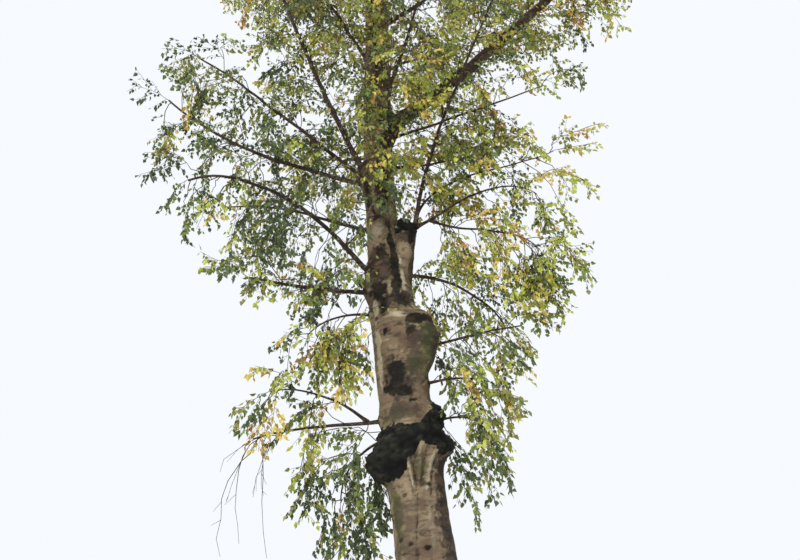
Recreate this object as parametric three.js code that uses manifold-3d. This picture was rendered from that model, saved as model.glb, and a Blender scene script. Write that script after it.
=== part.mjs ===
import * as THREE from "three";
import { mergeVertices } from "three/addons/utils/BufferGeometryUtils.js";
import Module from "manifold-3d";

// A mature silver birch, 16 m tall, in millimetres. +Z is up, +X is to the right as the tree is
// looked at from its front, -Y is the front, and the origin is the middle of the flat cut at
// ground level. Angles are in degrees: a turn runs from +X towards +Y, a rise up from level.

const wasm = await Module();
wasm.setup();
const DEGREE = Math.PI / 180;
const GOLDEN_TURN = 137.5;

// Seats and clearances
const SEAT_GAP = 0.3;
const TWIG_CLEAR = 4;
const SPACE_MARGIN = 12;

// Trunk: plumb below the bend and leaning to the right above it, with a slight sway in depth
const TRUNK_TOP = 15200;
const BEND_HEIGHT = 5400;
const BEND_ROUND = 707;
const LEAN_LOW = 0.022;
const LEAN_HIGH = 0.135;
const LEAN_SPAN = 10600;
const SWAY = 30;
const SWAY_WAVE = 0.0006;
const TRUNK_SIDES = 18;

// Trunk radius at some heights, straight between them
const TRUNK_PROFILE = [
  [0, 225],
  [1300, 222],
  [4200, 198],
  [4900, 150],
  [8200, 130],
  [12000, 70],
  [TRUNK_TOP, 14],
];

// Height of each band of the trunk's mesh and the number of rings in it
const TRUNK_BANDS = [
  { top: 700, rings: 5 },
  { top: 2450, rings: 3 },
  { top: 4150, rings: 16 },
  { top: 6000, rings: 6 },
  { top: TRUNK_TOP, rings: 10 },
];

// Root flare: how far it stands out at the ground, how fast it dies away, and its buttresses
const FLARE_REACH = 135;
const FLARE_FALL = 230;
const FLARE_LOBES = 5;
const FLARE_DEPTH = 0.38;
const FLARE_TURN = 20;

// Swellings: the black burr that rings the trunk, the green one on its right above it, and the
// collars where limbs leave. Each has its height, its turn, how far it stands out, and half its
// height and half its width round the trunk.
const BURRS = [
  { height: 2800, turn: 212, reach: 150, tall: 120, wide: 30 },
  { height: 2690, turn: 207, reach: 50, tall: 75, wide: 18 },
  { height: 2880, turn: 254, reach: 70, tall: 95, wide: 26 },
  { height: 2940, turn: 284, reach: 62, tall: 95, wide: 22 },
  { height: 2920, turn: 308, reach: 68, tall: 95, wide: 22 },
  { height: 2840, turn: 343, reach: 100, tall: 105, wide: 26 },
  { height: 3110, turn: 353, reach: 55, tall: 85, wide: 22 },
  { height: 2900, turn: 48, reach: 60, tall: 120, wide: 40 },
  { height: 2840, turn: 128, reach: 75, tall: 120, wide: 42 },
  { height: 3760, turn: 347, reach: 165, tall: 170, wide: 38 },
  { height: 3560, turn: 343, reach: 55, tall: 90, wide: 26 },
  { height: 3960, turn: 350, reach: 80, tall: 90, wide: 26 },
  { height: 4330, turn: 214, reach: 50, tall: 110, wide: 34 },
  { height: 5560, turn: 210, reach: 40, tall: 130, wide: 46 },
];

// Broken second leader: it forks off inside the trunk and ends in a jagged top
const STUB_FOOT = 4050;
const STUB_FOOT_SIDE = 40;
const STUB_TOP = 4900;
const STUB_TOP_SIDE = 345;
const STUB_TOP_DEPTH = -45;
const STUB_THICK = [108, 106, 104, 104, 108];
const STUB_MIDDLE = new THREE.Vector3(STUB_TOP_SIDE, STUB_TOP_DEPTH, STUB_TOP);
const STUB_SIDES = 10;
const STUB_JAG = 34;
const STUB_JAG_TEETH = 3.7;
const STUB_JAG_SKEW = 0.2;

// Limbs. Each leaves the trunk, the stub or another limb: foot is the height on the trunk, along
// is a share of the carrying limb, and from is an offset from the middle of the stub's top. turn is
// at the foot and tip, rise at the foot, middle and tip. bare is the share that is one bough, and
// a limb with no bare share is a leafy shoot. leafy is the share past which its twigs are bare.
const LIMBS = [
  { name: "left_hanging", foot: 3150, turn: [184, 196], rise: [-5, 2, -14], length: 1200, thick: 18,
    bare: 0.5, leafy: 0.7 },
  { name: "left_rising", on: "left_hanging", along: 0.26, turn: [200, 214], rise: [46, 20, -14],
    length: 850, thick: 12 },
  { name: "left_lowest", foot: 3040, turn: [165, 150], rise: [-6, -24, -84], length: 850, thick: 14 },
  { name: "left_yellow", foot: 4000, turn: [190, 200], rise: [24, -4, -50], length: 800, thick: 14 },
  { name: "left_level", foot: 4280, turn: [203, 212], rise: [-8, 4, 2], length: 1250, thick: 24,
    bare: 0.7 },
  { name: "left_arching", foot: 4220, turn: [205, 216], rise: [54, 37, -34], length: 2200,
    thick: 26, bare: 0.42 },
  { name: "left_wide", foot: 5420, turn: [200, 206], rise: [14, 20, 48], length: 2150, thick: 24,
    bare: 0.36 },
  { name: "left_slanting", foot: 5420, turn: [204, 210], rise: [39, 41, 30], length: 2150,
    thick: 22, bare: 0.36 },
  { name: "left_steep", foot: 5310, turn: [226, 238], rise: [56, 68, 62], length: 2900, thick: 30,
    bare: 0.36 },
  { name: "left_upper", foot: 6950, turn: [212, 196], rise: [62, 68, 52], length: 2200, thick: 22,
    bare: 0.34 },
  { name: "left_inner", foot: 4900, turn: [150, 172], rise: [34, 36, 10], length: 2100, thick: 20 },
  { name: "right_main", foot: 6100, turn: [352, 346], rise: [22, 31, 27], length: 3300, thick: 78,
    bare: 0.6 },
  { name: "right_fork", on: "right_main", along: 0.36, turn: [38, 20], rise: [46, 42, 20],
    length: 1700, thick: 24 },
  { name: "right_steep", foot: 6450, turn: [350, 330], rise: [55, 64, 50], length: 2200, thick: 24,
    bare: 0.34 },
  { name: "right_short", foot: 5660, turn: [15, 0], rise: [2, 5, 0], length: 1200, thick: 16 },
  { name: "right_level", foot: 5990, turn: [352, 0], rise: [4, 8, 16], length: 1800, thick: 16,
    bare: 0.4 },
  { name: "right_burr", foot: 3720, turn: [20, 350], rise: [0, 8, -10], length: 1100, thick: 16 },
  { name: "right_scar", foot: 3360, turn: [345, 350], rise: [8, -8, -24], length: 700, thick: 14 },
  { name: "right_lowest", foot: 3020, turn: [2, 8], rise: [10, 4, -50], length: 600, thick: 14 },
  { name: "stub_upright", on: "stub", from: [80, -30, -60], turn: [338, 318], rise: [74, 52, 48],
    length: 2900, thick: 20, bare: 0.34 },
  { name: "stub_level", on: "stub_upright", along: 0.04, turn: [0, 350], rise: [66, 4, 14],
    length: 1500, thick: 12 },
  { name: "stub_arching", on: "stub", from: [90, 0, -30], turn: [0, 350], rise: [16, 14, -60],
    length: 1250, thick: 14, bare: 0.4 },
  { name: "stub_hanging", on: "stub_arching", along: 0.12, turn: [350, 340], rise: [-46, -26, -70],
    length: 1100, thick: 12 },
  { name: "back_low", foot: 4450, turn: [50, 36], rise: [16, -2, -60], length: 1600, thick: 22,
    bare: 0.38 },
  { name: "back_middle", foot: 5850, turn: [118, 104], rise: [34, 38, 16], length: 2300, thick: 26,
    bare: 0.36 },
  { name: "back_upper", foot: 7000, turn: [58, 66], rise: [42, 48, 30], length: 2300, thick: 24 },
  { name: "front_low", foot: 5300, turn: [296, 290], rise: [38, 54, 44], length: 1300, thick: 14 },
  { name: "front_middle", foot: 6550, turn: [282, 272], rise: [40, 46, 30], length: 1900, thick: 20 },
  { name: "front_upper", foot: 7650, turn: [262, 256], rise: [42, 50, 34], length: 2000, thick: 22 },
  { name: "collar_shoots", foot: 4900, turn: [258, 254], rise: [22, 44, 66], length: 1000, thick: 12 },
];

// Limbs of the upper crown wind up the trunk, shorter and steeper towards the tip
const TOP_LIMBS = 11;
const TOP_BOUGHS = 2;
const TOP_FIRST = 7700;
const TOP_LAST = 14700;
const TOP_TURN = 20;
const TOP_LENGTH = [3000, 900];
const TOP_RISE = [38, 56];
const TOP_THICK = [27, 11];
const TOP_BARE = 0.34;
const TOP_TURN_SWING = 12;
const TOP_RISE_SWING = [0, 8, -22];
const TOP_SHORTEN = 1.2;
const LEADER = { name: "leader", foot: TRUNK_TOP + SEAT_GAP, turn: [0, 0], rise: [90, 88, 84], length: 560,
  thick: 12, crowned: true };

// How limbs taper and are faceted
const TIP_SHARE = 0.36;
const STEPS = 40;
const BOUGH_SIDES = 5;
const BOUGH_RINGS = 4;

// Twigs: the gap between two along a stem, how they spread, reach, droop and taper
const TWIG_GAP = 400;
const TWIG_FEWEST = 3;
const TWIG_FIRST = 0.16;
const TWIG_PAST_BOUGH = 0.04;
const TWIG_OFFSET = 0.3;
const TWIG_SPREAD = [47, 61];
const TWIG_REACH = [620, 400];
const TWIG_REACH_VARY = [0.8, 1.2];
const TWIG_REACH_SHORT = { least: 0.45, full: 2600 };
const TWIG_DROOP = [32, 78];
const TWIG_ARCH = 4;
const TWIG_SWING = 15;
const STEEPEST = 88;
const TWIG_THICK = [8, 6];
const TWIG_SIDES = 3;
const TWIG_RINGS = 2;

// Sprays of leaves, each one flat pointed blade, widest near its root
const SPRAY_LENGTH = 480;
const SPRAY_WIDTH = 320;
const SPRAY_THICK = 16;
const SPRAY_BELLY = 0.4;
const SPRAY_SUNK = 0.06;
const SPRAY_SIZE = [0.8, 1.2];
const SPRAY_TURN = 48;
const SPRAY_TIP_TURN = 19;
const SPRAY_HANG = 24;
const SPRAY_ROLL = 50;

// Seeds: each limb has its own, a fixed step on from the last
const SEED_FIRST = 7;
const SEED_SCALE = 1000;
const SEED_STEP = 0.618;

// Numbers between 0 and 1 in an order that the seed sets
function dealer(seed) {
  let state = SEED_FIRST + Math.round(SEED_SCALE * seed);
  return () => {
    state = (Math.imul(state, 1664525) + 1013904223) >>> 0;
    return state / 4294967296;
  };
}

// A mesh turned into a solid for joining and cutting
function solid(geometry) {
  geometry.deleteAttribute("normal");
  geometry.deleteAttribute("uv");
  const merged = mergeVertices(geometry);
  return new wasm.Manifold(new wasm.Mesh({
    numProp: 3,
    vertProperties: merged.attributes.position.array,
    triVerts: Uint32Array.from(merged.index.array),
  }));
}

// A solid turned back into a mesh, without loose scraps and sealed hollows
function geometryOf(body) {
  let largest = body;
  for (const piece of body.decompose()) {
    if (largest === body || piece.volume() > largest.volume()) largest = piece;
  }
  const mesh = largest.getMesh();
  const geometry = new THREE.BufferGeometry();
  geometry.setAttribute("position", new THREE.BufferAttribute(mesh.vertProperties, 3));
  geometry.setIndex(new THREE.BufferAttribute(mesh.triVerts, 1));
  geometry.computeVertexNormals();
  return geometry;
}

// Trunk: the run of its axis, its radius with flare and burrs, and its solid
function lean(height) {
  const above = height - BEND_HEIGHT;
  const eased = 0.5 * (above + Math.hypot(above, BEND_ROUND));
  return LEAN_LOW * height + LEAN_HIGH * (eased - (eased * eased) / (2 * LEAN_SPAN));
}

function trunkAxis(height) {
  return new THREE.Vector3(lean(height) - lean(0), SWAY * Math.sin(SWAY_WAVE * height), height);
}

function between(rows, value) {
  let index = 1;
  while (index < rows.length - 1 && rows[index][0] < value) index += 1;
  const [low, first] = rows[index - 1];
  const [high, second] = rows[index];
  return THREE.MathUtils.mapLinear(value, low, high, first, second);
}

function turnBetween(first, second) {
  return ((second - first + 540) % 360) - 180;
}

function trunkRadius(height, turn) {
  const lobe = 1 + FLARE_DEPTH * Math.cos(FLARE_LOBES * (turn - FLARE_TURN) * DEGREE);
  let radius = between(TRUNK_PROFILE, height) + FLARE_REACH * lobe * Math.exp(-height / FLARE_FALL);
  for (const burr of BURRS) {
    const up = (height - burr.height) / burr.tall;
    const round = turnBetween(burr.turn, turn) / burr.wide;
    radius += burr.reach * Math.exp(-up * up - round * round);
  }
  return radius;
}

function trunkHeights() {
  const heights = [0];
  for (const band of TRUNK_BANDS) {
    const start = heights.at(-1);
    for (let ring = 1; ring <= band.rings; ring += 1) {
      heights.push(start + ((band.top - start) * ring) / band.rings);
    }
  }
  return heights;
}

function trunkSolid(grow) {
  const heights = trunkHeights();
  const rings = heights.length - 1;
  const shape = new THREE.CylinderGeometry(1, 1, 1, TRUNK_SIDES, rings);
  const places = shape.attributes.position;
  for (let index = 0; index < places.count; index += 1) {
    const across = places.getX(index);
    const deep = -places.getZ(index);
    const height = heights[Math.round((places.getY(index) + 0.5) * rings)];
    const turn = Math.atan2(deep, across) / DEGREE;
    const radius = trunkRadius(height, turn) + grow;
    const axis = trunkAxis(height);
    places.setXYZ(index, axis.x + across * radius, axis.y + deep * radius, height);
  }
  return solid(shape);
}

// A station is a place on a limb or twig with its heading and thickness there
function station(place, turn, rise, thick) {
  const ahead = new THREE.Vector3(
    Math.cos(turn * DEGREE) * Math.cos(rise * DEGREE),
    Math.sin(turn * DEGREE) * Math.cos(rise * DEGREE),
    Math.sin(rise * DEGREE),
  );
  const side = new THREE.Vector3(-Math.sin(turn * DEGREE), Math.cos(turn * DEGREE), 0);
  return { place, ahead, side, under: side.clone().cross(ahead), turn, rise, thick };
}

// The run of a limb or twig: its heading swings evenly in turn and on a smooth curve in rise
function heading(limb, share) {
  const [foot, middle, tip] = limb.rise;
  const turn = limb.turn[0] + turnBetween(limb.turn[0], limb.turn[1]) * share;
  const rise = foot * (1 - share) * (1 - 2 * share) + middle * 4 * share * (1 - share)
    + tip * share * (2 * share - 1);
  return [turn, rise];
}

function trace(limb, start) {
  const places = [start.clone()];
  for (let step = 0; step < STEPS; step += 1) {
    const { ahead } = station(start, ...heading(limb, (step + 0.5) / STEPS), 0);
    places.push(places.at(-1).clone().addScaledVector(ahead, limb.length / STEPS));
  }
  return places;
}

function stationAt(limb, share) {
  const step = Math.min(Math.floor(share * STEPS), STEPS - 1);
  const place = limb.places[step].clone().lerp(limb.places[step + 1], share * STEPS - step);
  const taper = 1 - (1 - TIP_SHARE) * share;
  return station(place, ...heading(limb, share), limb.thick * taper);
}

// A tapering faceted tube through some stations, with ends that are flat and square to its run
function tube(stations, sides, grow) {
  const rings = stations.length - 1;
  const shape = new THREE.CylinderGeometry(1, 1, 1, sides, rings);
  const places = shape.attributes.position;
  for (let index = 0; index < places.count; index += 1) {
    const here = stations[Math.round((places.getY(index) + 0.5) * rings)];
    const spot = here.place.clone();
    spot.addScaledVector(here.side, places.getX(index) * (here.thick + grow));
    spot.addScaledVector(here.under, places.getZ(index) * (here.thick + grow));
    places.setXYZ(index, spot.x, spot.y, spot.z);
  }
  return solid(shape);
}

function boughTube(limb, grow) {
  const stations = [];
  for (let ring = 0; ring <= BOUGH_RINGS; ring += 1) {
    stations.push(stationAt(limb, (limb.bare * ring) / BOUGH_RINGS));
  }
  return tube(stations, BOUGH_SIDES, grow);
}

// Stub of the broken leader, with a jagged rim
function stubSolid(grow) {
  const foot = trunkAxis(STUB_FOOT).add(new THREE.Vector3(STUB_FOOT_SIDE, 0, 0));
  const rings = STUB_THICK.length - 1;
  const stations = STUB_THICK.map((thick, ring) =>
    station(foot.clone().lerp(STUB_MIDDLE, ring / rings), 0, 90, thick));
  const shape = new THREE.CylinderGeometry(1, 1, 1, STUB_SIDES, rings);
  const places = shape.attributes.position;
  for (let index = 0; index < places.count; index += 1) {
    const ring = Math.round((places.getY(index) + 0.5) * rings);
    const across = places.getX(index);
    const deep = -places.getZ(index);
    const { place, thick } = stations[ring];
    const tooth = STUB_JAG_TEETH * Math.atan2(deep, across + STUB_JAG_SKEW);
    const jag = ring === rings ? STUB_JAG * Math.cos(tooth) : 0;
    const radius = thick + grow;
    places.setXYZ(index, place.x + across * radius, place.y + deep * radius, place.z + jag + grow);
  }
  return solid(shape);
}

// A spray of leaves: a pointed blade of eight faces whose root is sunk in the twig that bears it
function spray(at, size, roll) {
  const shape = new THREE.OctahedronGeometry(1);
  const places = shape.attributes.position;
  const half = (SPRAY_WIDTH * size) / 2;
  const lift = (SPRAY_THICK * size) / 2;
  const across = at.side.clone().applyAxisAngle(at.ahead, roll * DEGREE);
  const up = at.ahead.clone().cross(across);
  for (let index = 0; index < places.count; index += 1) {
    const end = places.getX(index);
    const along = end === 0 ? SPRAY_BELLY : (1 + end) / 2;
    const spot = at.place.clone();
    spot.addScaledVector(at.ahead, (along - SPRAY_SUNK) * SPRAY_LENGTH * size);
    spot.addScaledVector(across, places.getY(index) * half);
    spot.addScaledVector(up, places.getZ(index) * lift);
    places.setXYZ(index, spot.x, spot.y, spot.z);
  }
  return { body: solid(shape), corners: cornersOf(places) };
}

function cornersOf(places) {
  const corners = [];
  for (let index = 0; index < places.count; index += 1) {
    corners.push(new THREE.Vector3().fromBufferAttribute(places, index));
  }
  return corners;
}

// The limbs of the upper crown and the leader, added to the named ones
function topLimbs() {
  const rows = [];
  for (let index = 0; index < TOP_LIMBS; index += 1) {
    const share = index / (TOP_LIMBS - 1);
    const turn = (TOP_TURN + GOLDEN_TURN * index) % 360;
    const rise = THREE.MathUtils.lerp(...TOP_RISE, share);
    rows.push({
      name: `top_${index + 1}`,
      foot: THREE.MathUtils.lerp(TOP_FIRST, TOP_LAST, share),
      turn: [turn, turn + TOP_TURN_SWING],
      rise: TOP_RISE_SWING.map((swing) => rise + swing),
      length: THREE.MathUtils.lerp(...TOP_LENGTH, share ** TOP_SHORTEN),
      thick: THREE.MathUtils.lerp(...TOP_THICK, share),
      bare: index < TOP_BOUGHS ? TOP_BARE : 0,
    });
  }
  rows.push({ ...LEADER });
  return rows;
}

// Every limb with its run worked out from what carries it
const limbs = [...LIMBS, ...topLimbs()];
for (const [index, limb] of limbs.entries()) {
  limb.seed = (SEED_STEP * (index + 1)) % 1;
  limb.bare ??= 0;
  limb.leafy ??= 1;
  limb.on ??= "trunk";
  const carrier = limbs.find((other) => other.name === limb.on);
  let start = trunkAxis(limb.foot ?? 0);
  if (limb.on === "stub") {
    start = new THREE.Vector3(...limb.from).add(STUB_MIDDLE);
  }
  if (carrier) start = stationAt(carrier, limb.along).place;
  limb.places = trace(limb, start);
}

// Trunk, stub and boughs. Each is cut clear of what carries it by the seat gap.
const woods = new Map([["trunk", trunkSolid(0)]]);
const grown = new Map([["trunk", trunkSolid(SEAT_GAP)], ["stub", stubSolid(SEAT_GAP)]]);
woods.set("stub", stubSolid(0).subtract(grown.get("trunk")));

function seated(body, limb) {
  return limb.crowned ? body : body.subtract(grown.get(limb.on));
}

for (const limb of limbs) {
  if (limb.bare > 0) {
    woods.set(limb.name, seated(boughTube(limb, 0), limb));
    grown.set(limb.name, boughTube(limb, SEAT_GAP));
  }
}

// A twig or spray keeps to the space that lies nearest to its own limb, clear of all wood and
// of the masses already grown
function nearest(limb, corner) {
  return Math.min(...limb.places.map((place) => place.distanceTo(corner)));
}

function staysHome(corners, limb) {
  return corners.every((corner) => {
    const home = nearest(limb, corner) + SPACE_MARGIN;
    return limbs.every((other) => other === limb || nearest(other, corner) > home);
  });
}

function touches(body, others) {
  const box = body.boundingBox();
  return others.some((other) => {
    const away = other.boundingBox();
    const apart = [0, 1, 2].some((axis) =>
      box.min[axis] > away.max[axis] + TWIG_CLEAR || box.max[axis] < away.min[axis] - TWIG_CLEAR);
    return !apart && body.minGap(other, TWIG_CLEAR) < TWIG_CLEAR;
  });
}

// The twigs of a limb: evenly spaced, wound round the stem by the golden turn, drooping
function twigsOf(limb, draw) {
  const from = Math.max(limb.bare + TWIG_PAST_BOUGH, TWIG_FIRST);
  const count = Math.max(TWIG_FEWEST, Math.round((limb.length * (1 - from)) / TWIG_GAP));
  const shortened = Math.min(1, TWIG_REACH_SHORT.least + limb.length / TWIG_REACH_SHORT.full);
  const vary = ([low, high]) => low + (high - low) * draw();
  const twigs = [];
  for (let index = 0; index < count; index += 1) {
    const share = from + ((1 - from) * (index + TWIG_OFFSET)) / count;
    const stem = stationAt(limb, share);
    const wind = (GOLDEN_TURN * index + 360 * limb.seed) * DEGREE;
    const spread = vary(TWIG_SPREAD) * DEGREE;
    const ahead = stem.ahead.clone().multiplyScalar(Math.cos(spread));
    ahead.addScaledVector(stem.side, Math.sin(spread) * Math.cos(wind));
    ahead.addScaledVector(stem.under, -Math.sin(spread) * Math.sin(wind));
    const turn = Math.atan2(ahead.y, ahead.x) / DEGREE;
    const rise = Math.asin(THREE.MathUtils.clamp(ahead.z, -1, 1)) / DEGREE;
    const tip = Math.max(rise - vary(TWIG_DROOP), -STEEPEST);
    const reach = THREE.MathUtils.lerp(...TWIG_REACH, share) * vary(TWIG_REACH_VARY);
    const twig = {
      turn: [turn, turn + vary([-TWIG_SWING, TWIG_SWING])],
      rise: [rise, (rise + tip) / 2 + TWIG_ARCH, tip],
      length: reach * shortened,
      thick: 1,
      share,
    };
    twig.places = trace(twig, stem.place);
    twigs.push(twig);
  }
  return twigs;
}

// One mass: a stem that carries on from its bough, its twigs, and the sprays on them
function massSolid(limb, others) {
  const draw = dealer(limb.seed);
  const start = limb.bare > 0 ? limb.bare + SEAT_GAP / limb.length : 0;
  const twigs = twigsOf(limb, draw);
  const shares = [start, ...twigs.map((twig) => twig.share), 1];
  const stem = tube(shares.map((share) => stationAt(limb, share)), TWIG_SIDES, 0);
  const pieces = [limb.bare > 0 ? stem : seated(stem, limb)];
  const grow = ({ body, corners }) => {
    const fits = staysHome(corners, limb) && !touches(body, others);
    if (fits) pieces.push(body);
    return fits;
  };
  const sprayAt = (carrier, share, aside) => {
    const at = stationAt(carrier, share);
    const rise = Math.max(at.rise - SPRAY_HANG, -STEEPEST);
    const size = THREE.MathUtils.lerp(...SPRAY_SIZE, draw());
    const roll = SPRAY_ROLL * (2 * draw() - 1);
    return spray(station(at.place, at.turn + aside, rise, 0), size, roll);
  };
  twigs.forEach((twig, index) => {
    const stations = [];
    for (let ring = 0; ring <= TWIG_RINGS; ring += 1) {
      const here = stationAt(twig, ring / TWIG_RINGS);
      here.thick = THREE.MathUtils.lerp(...TWIG_THICK, ring / TWIG_RINGS);
      stations.push(here);
    }
    const bodyCorners = stations.slice(1).map((here) => here.place);
    const sprays = [
      sprayAt(twig, 1, index % 2 ? SPRAY_TIP_TURN : -SPRAY_TIP_TURN),
      sprayAt(twig, 0.5, draw() < 0.5 ? SPRAY_TURN : -SPRAY_TURN),
    ];
    const grew = grow({ body: tube(stations, TWIG_SIDES, 0), corners: bodyCorners });
    if (grew && twig.share < limb.leafy) sprays.forEach(grow);
  });
  if (limb.leafy === 1) grow(sprayAt(limb, 1, 0));
  return wasm.Manifold.union(pieces);
}

// Finishes
function finish(colour, roughness) {
  return () => new THREE.MeshStandardMaterial({ color: colour, roughness, metalness: 0 });
}

const paleBark = finish("#b7a795", 0.85);
const darkBark = finish("#4a3f36", 0.9);
const leaves = finish("#6f7d34", 0.7);

// The tree: trunk, stub, boughs, then the masses of foliage
const tree = new THREE.Group();

function add(name, body, material) {
  const mesh = new THREE.Mesh(geometryOf(body), material());
  mesh.name = name;
  tree.add(mesh);
}

for (const [name, body] of woods) {
  const plain = name === "trunk" || name === "stub";
  add(plain ? name : `bough_${name}`, body, plain ? paleBark : darkBark);
}

const masses = [];
for (const limb of limbs) {
  const mass = massSolid(limb, [...woods.values(), ...masses]);
  masses.push(mass);
  add(`foliage_${limb.name}`, mass, leaves);
}

export default tree;
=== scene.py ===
"""Looks of a mature silver birch, 16 m tall: its leaning trunk with black burrs, the stub of a
broken second leader, the boughs, the twigs and the thin autumn leaves. Lengths are in metres,
+Z is up, the front is -Y, and the cut at ground level is at z = 0. Turns are in degrees from +X
towards +Y, and rises are in degrees up from level."""
import math

import bpy
import numpy as np
from mathutils import Matrix, Vector, noise


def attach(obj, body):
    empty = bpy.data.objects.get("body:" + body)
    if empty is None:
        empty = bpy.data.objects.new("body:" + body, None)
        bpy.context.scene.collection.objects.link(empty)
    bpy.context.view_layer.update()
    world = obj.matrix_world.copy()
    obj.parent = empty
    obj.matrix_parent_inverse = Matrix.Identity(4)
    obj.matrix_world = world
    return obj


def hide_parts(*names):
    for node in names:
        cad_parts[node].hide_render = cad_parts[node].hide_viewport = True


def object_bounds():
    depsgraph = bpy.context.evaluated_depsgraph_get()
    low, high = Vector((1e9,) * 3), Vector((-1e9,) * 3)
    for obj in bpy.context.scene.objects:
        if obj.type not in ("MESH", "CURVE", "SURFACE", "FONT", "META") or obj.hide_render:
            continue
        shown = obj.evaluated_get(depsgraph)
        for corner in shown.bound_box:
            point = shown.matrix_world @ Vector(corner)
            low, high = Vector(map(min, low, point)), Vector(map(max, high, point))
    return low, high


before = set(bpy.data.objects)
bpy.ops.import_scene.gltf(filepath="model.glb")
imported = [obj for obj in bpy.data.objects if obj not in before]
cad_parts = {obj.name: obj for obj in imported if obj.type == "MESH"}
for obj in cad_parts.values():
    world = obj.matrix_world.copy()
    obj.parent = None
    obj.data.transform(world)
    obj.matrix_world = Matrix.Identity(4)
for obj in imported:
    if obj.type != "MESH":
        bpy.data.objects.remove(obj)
cad_box = np.array([list(corner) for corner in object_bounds()])

# Camera. It stands in front of the tree at eye height and looks up into the crown, rolled a
# little, with a 28 mm lens on a frame 36 mm wide.
CAMERA_PLACE = (0.207, -4.8, 1.6)
CAMERA_PITCH = math.radians(30)
CAMERA_ROLL = math.radians(10)
CAMERA_LENS = 28.125
CAMERA_FRAME_WIDTH = 36

level = Vector((1, 0, 0))
upright = Vector((0, -math.sin(CAMERA_PITCH), math.cos(CAMERA_PITCH)))
forward = Vector((0, math.cos(CAMERA_PITCH), math.sin(CAMERA_PITCH)))
right = level * math.cos(CAMERA_ROLL) - upright * math.sin(CAMERA_ROLL)
above = upright * math.cos(CAMERA_ROLL) + level * math.sin(CAMERA_ROLL)
camera_data = bpy.data.cameras.new("camera")
camera_data.lens = CAMERA_LENS
camera_data.sensor_width = CAMERA_FRAME_WIDTH
camera = bpy.data.objects.new("camera", camera_data)
camera.matrix_world = Matrix.Translation(CAMERA_PLACE) @ Matrix(
    (right, above, -forward)).transposed().to_4x4()
bpy.context.scene.collection.objects.link(camera)
bpy.context.scene.camera = camera

# Studio. A pale floor just under the cut, an even pale surround, and one large soft lamp from
# the upper left of the front.
FLOOR_RADIUS = 60
FLOOR_DROP = 0.002
FLOOR_SIDES = 96
FLOOR_GRAIN = 0.6
FLOOR_TONES = ("e2e0dc", "e8e6e3")
FLOOR_ROUGHNESS = 0.9
SURROUND_COLOUR = (0.93, 0.96, 1.0, 1)
SURROUND_STRENGTH = 1.0
LAMP_STRENGTH = 1.6
LAMP_SPREAD = math.radians(25)
LAMP_TILT = (math.radians(48), math.radians(-30), 0)


def new_object(name, data):
    thing = bpy.data.objects.new(name, data)
    bpy.context.scene.collection.objects.link(thing)
    return thing


def rgba(hex_colour):
    """A colour written as rrggbb, in the linear values that sockets take."""
    shares = [int(hex_colour[at:at + 2], 16) / 255 for at in (0, 2, 4)]
    return (*[s / 12.92 if s < 0.04045 else ((s + 0.055) / 1.055) ** 2.4 for s in shares], 1)


class Finish:
    """A material under construction, with short ways to place its nodes. Where it is given the
    tree of a shader group, it places nodes there."""

    def __init__(self, name="", tree=None):
        if tree is None:
            self.material = bpy.data.materials.new(name)
            self.material.use_nodes = True
            tree = self.material.node_tree
            self.surface = tree.nodes["Principled BSDF"].inputs
        self.tree = tree

    def node(self, kind, settings=(), **inputs):
        made = self.tree.nodes.new(kind)
        for key, value in dict(settings).items():
            setattr(made, key, value)
        for key, value in inputs.items():
            self.feed(made.inputs[key.replace("_", " ")], value)
        return made

    def feed(self, socket, value):
        if isinstance(value, bpy.types.NodeSocket):
            self.tree.links.new(value, socket)
        else:
            socket.default_value = value

    def math(self, operation, first, second):
        made = self.node("ShaderNodeMath", {"operation": operation})
        self.feed(made.inputs[0], first)
        self.feed(made.inputs[1], second)
        return made.outputs[0]

    def blend(self, share, first, second):
        made = self.node("ShaderNodeMix", {"data_type": "RGBA"})
        self.feed(made.inputs["Factor"], share)
        self.feed(made.inputs["A"], first)
        self.feed(made.inputs["B"], second)
        return made.outputs["Result"]

    def step(self, value, low, high):
        """0 below one value and 1 above the other, with a smooth rise between them."""
        made = self.node("ShaderNodeMapRange", {"interpolation_type": "SMOOTHSTEP"})
        self.feed(made.inputs["Value"], value)
        made.inputs["From Min"].default_value = low
        made.inputs["From Max"].default_value = high
        return made.outputs["Result"]

    def cloud(self, place, size, detail=4.0, stretch=(1, 1, 1)):
        """Noise with waves of about the given size in metres, longer where stretch is over 1."""
        scale = [1 / (size * share) for share in stretch]
        spot = self.node("ShaderNodeMapping", Vector=place, Scale=scale)
        made = self.node("ShaderNodeTexNoise", Vector=spot.outputs["Vector"], Scale=1.0,
                         Detail=detail)
        return made.outputs["Fac"]

    def tones(self, value, low, high, first, second):
        """Two colours written as rrggbb, mixed where a value lies between low and high."""
        return self.blend(self.step(value, low, high), rgba(first), rgba(second))

    def bump(self, lumps, strength, depth):
        made = self.node("ShaderNodeBump", Height=lumps, Strength=strength, Distance=depth)
        self.feed(self.surface["Normal"], made.outputs["Normal"])

    def place(self):
        return self.node("ShaderNodeTexCoord").outputs["Object"]

    def painted(self, name):
        return self.node("ShaderNodeAttribute", {"attribute_name": name}).outputs["Fac"]


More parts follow.
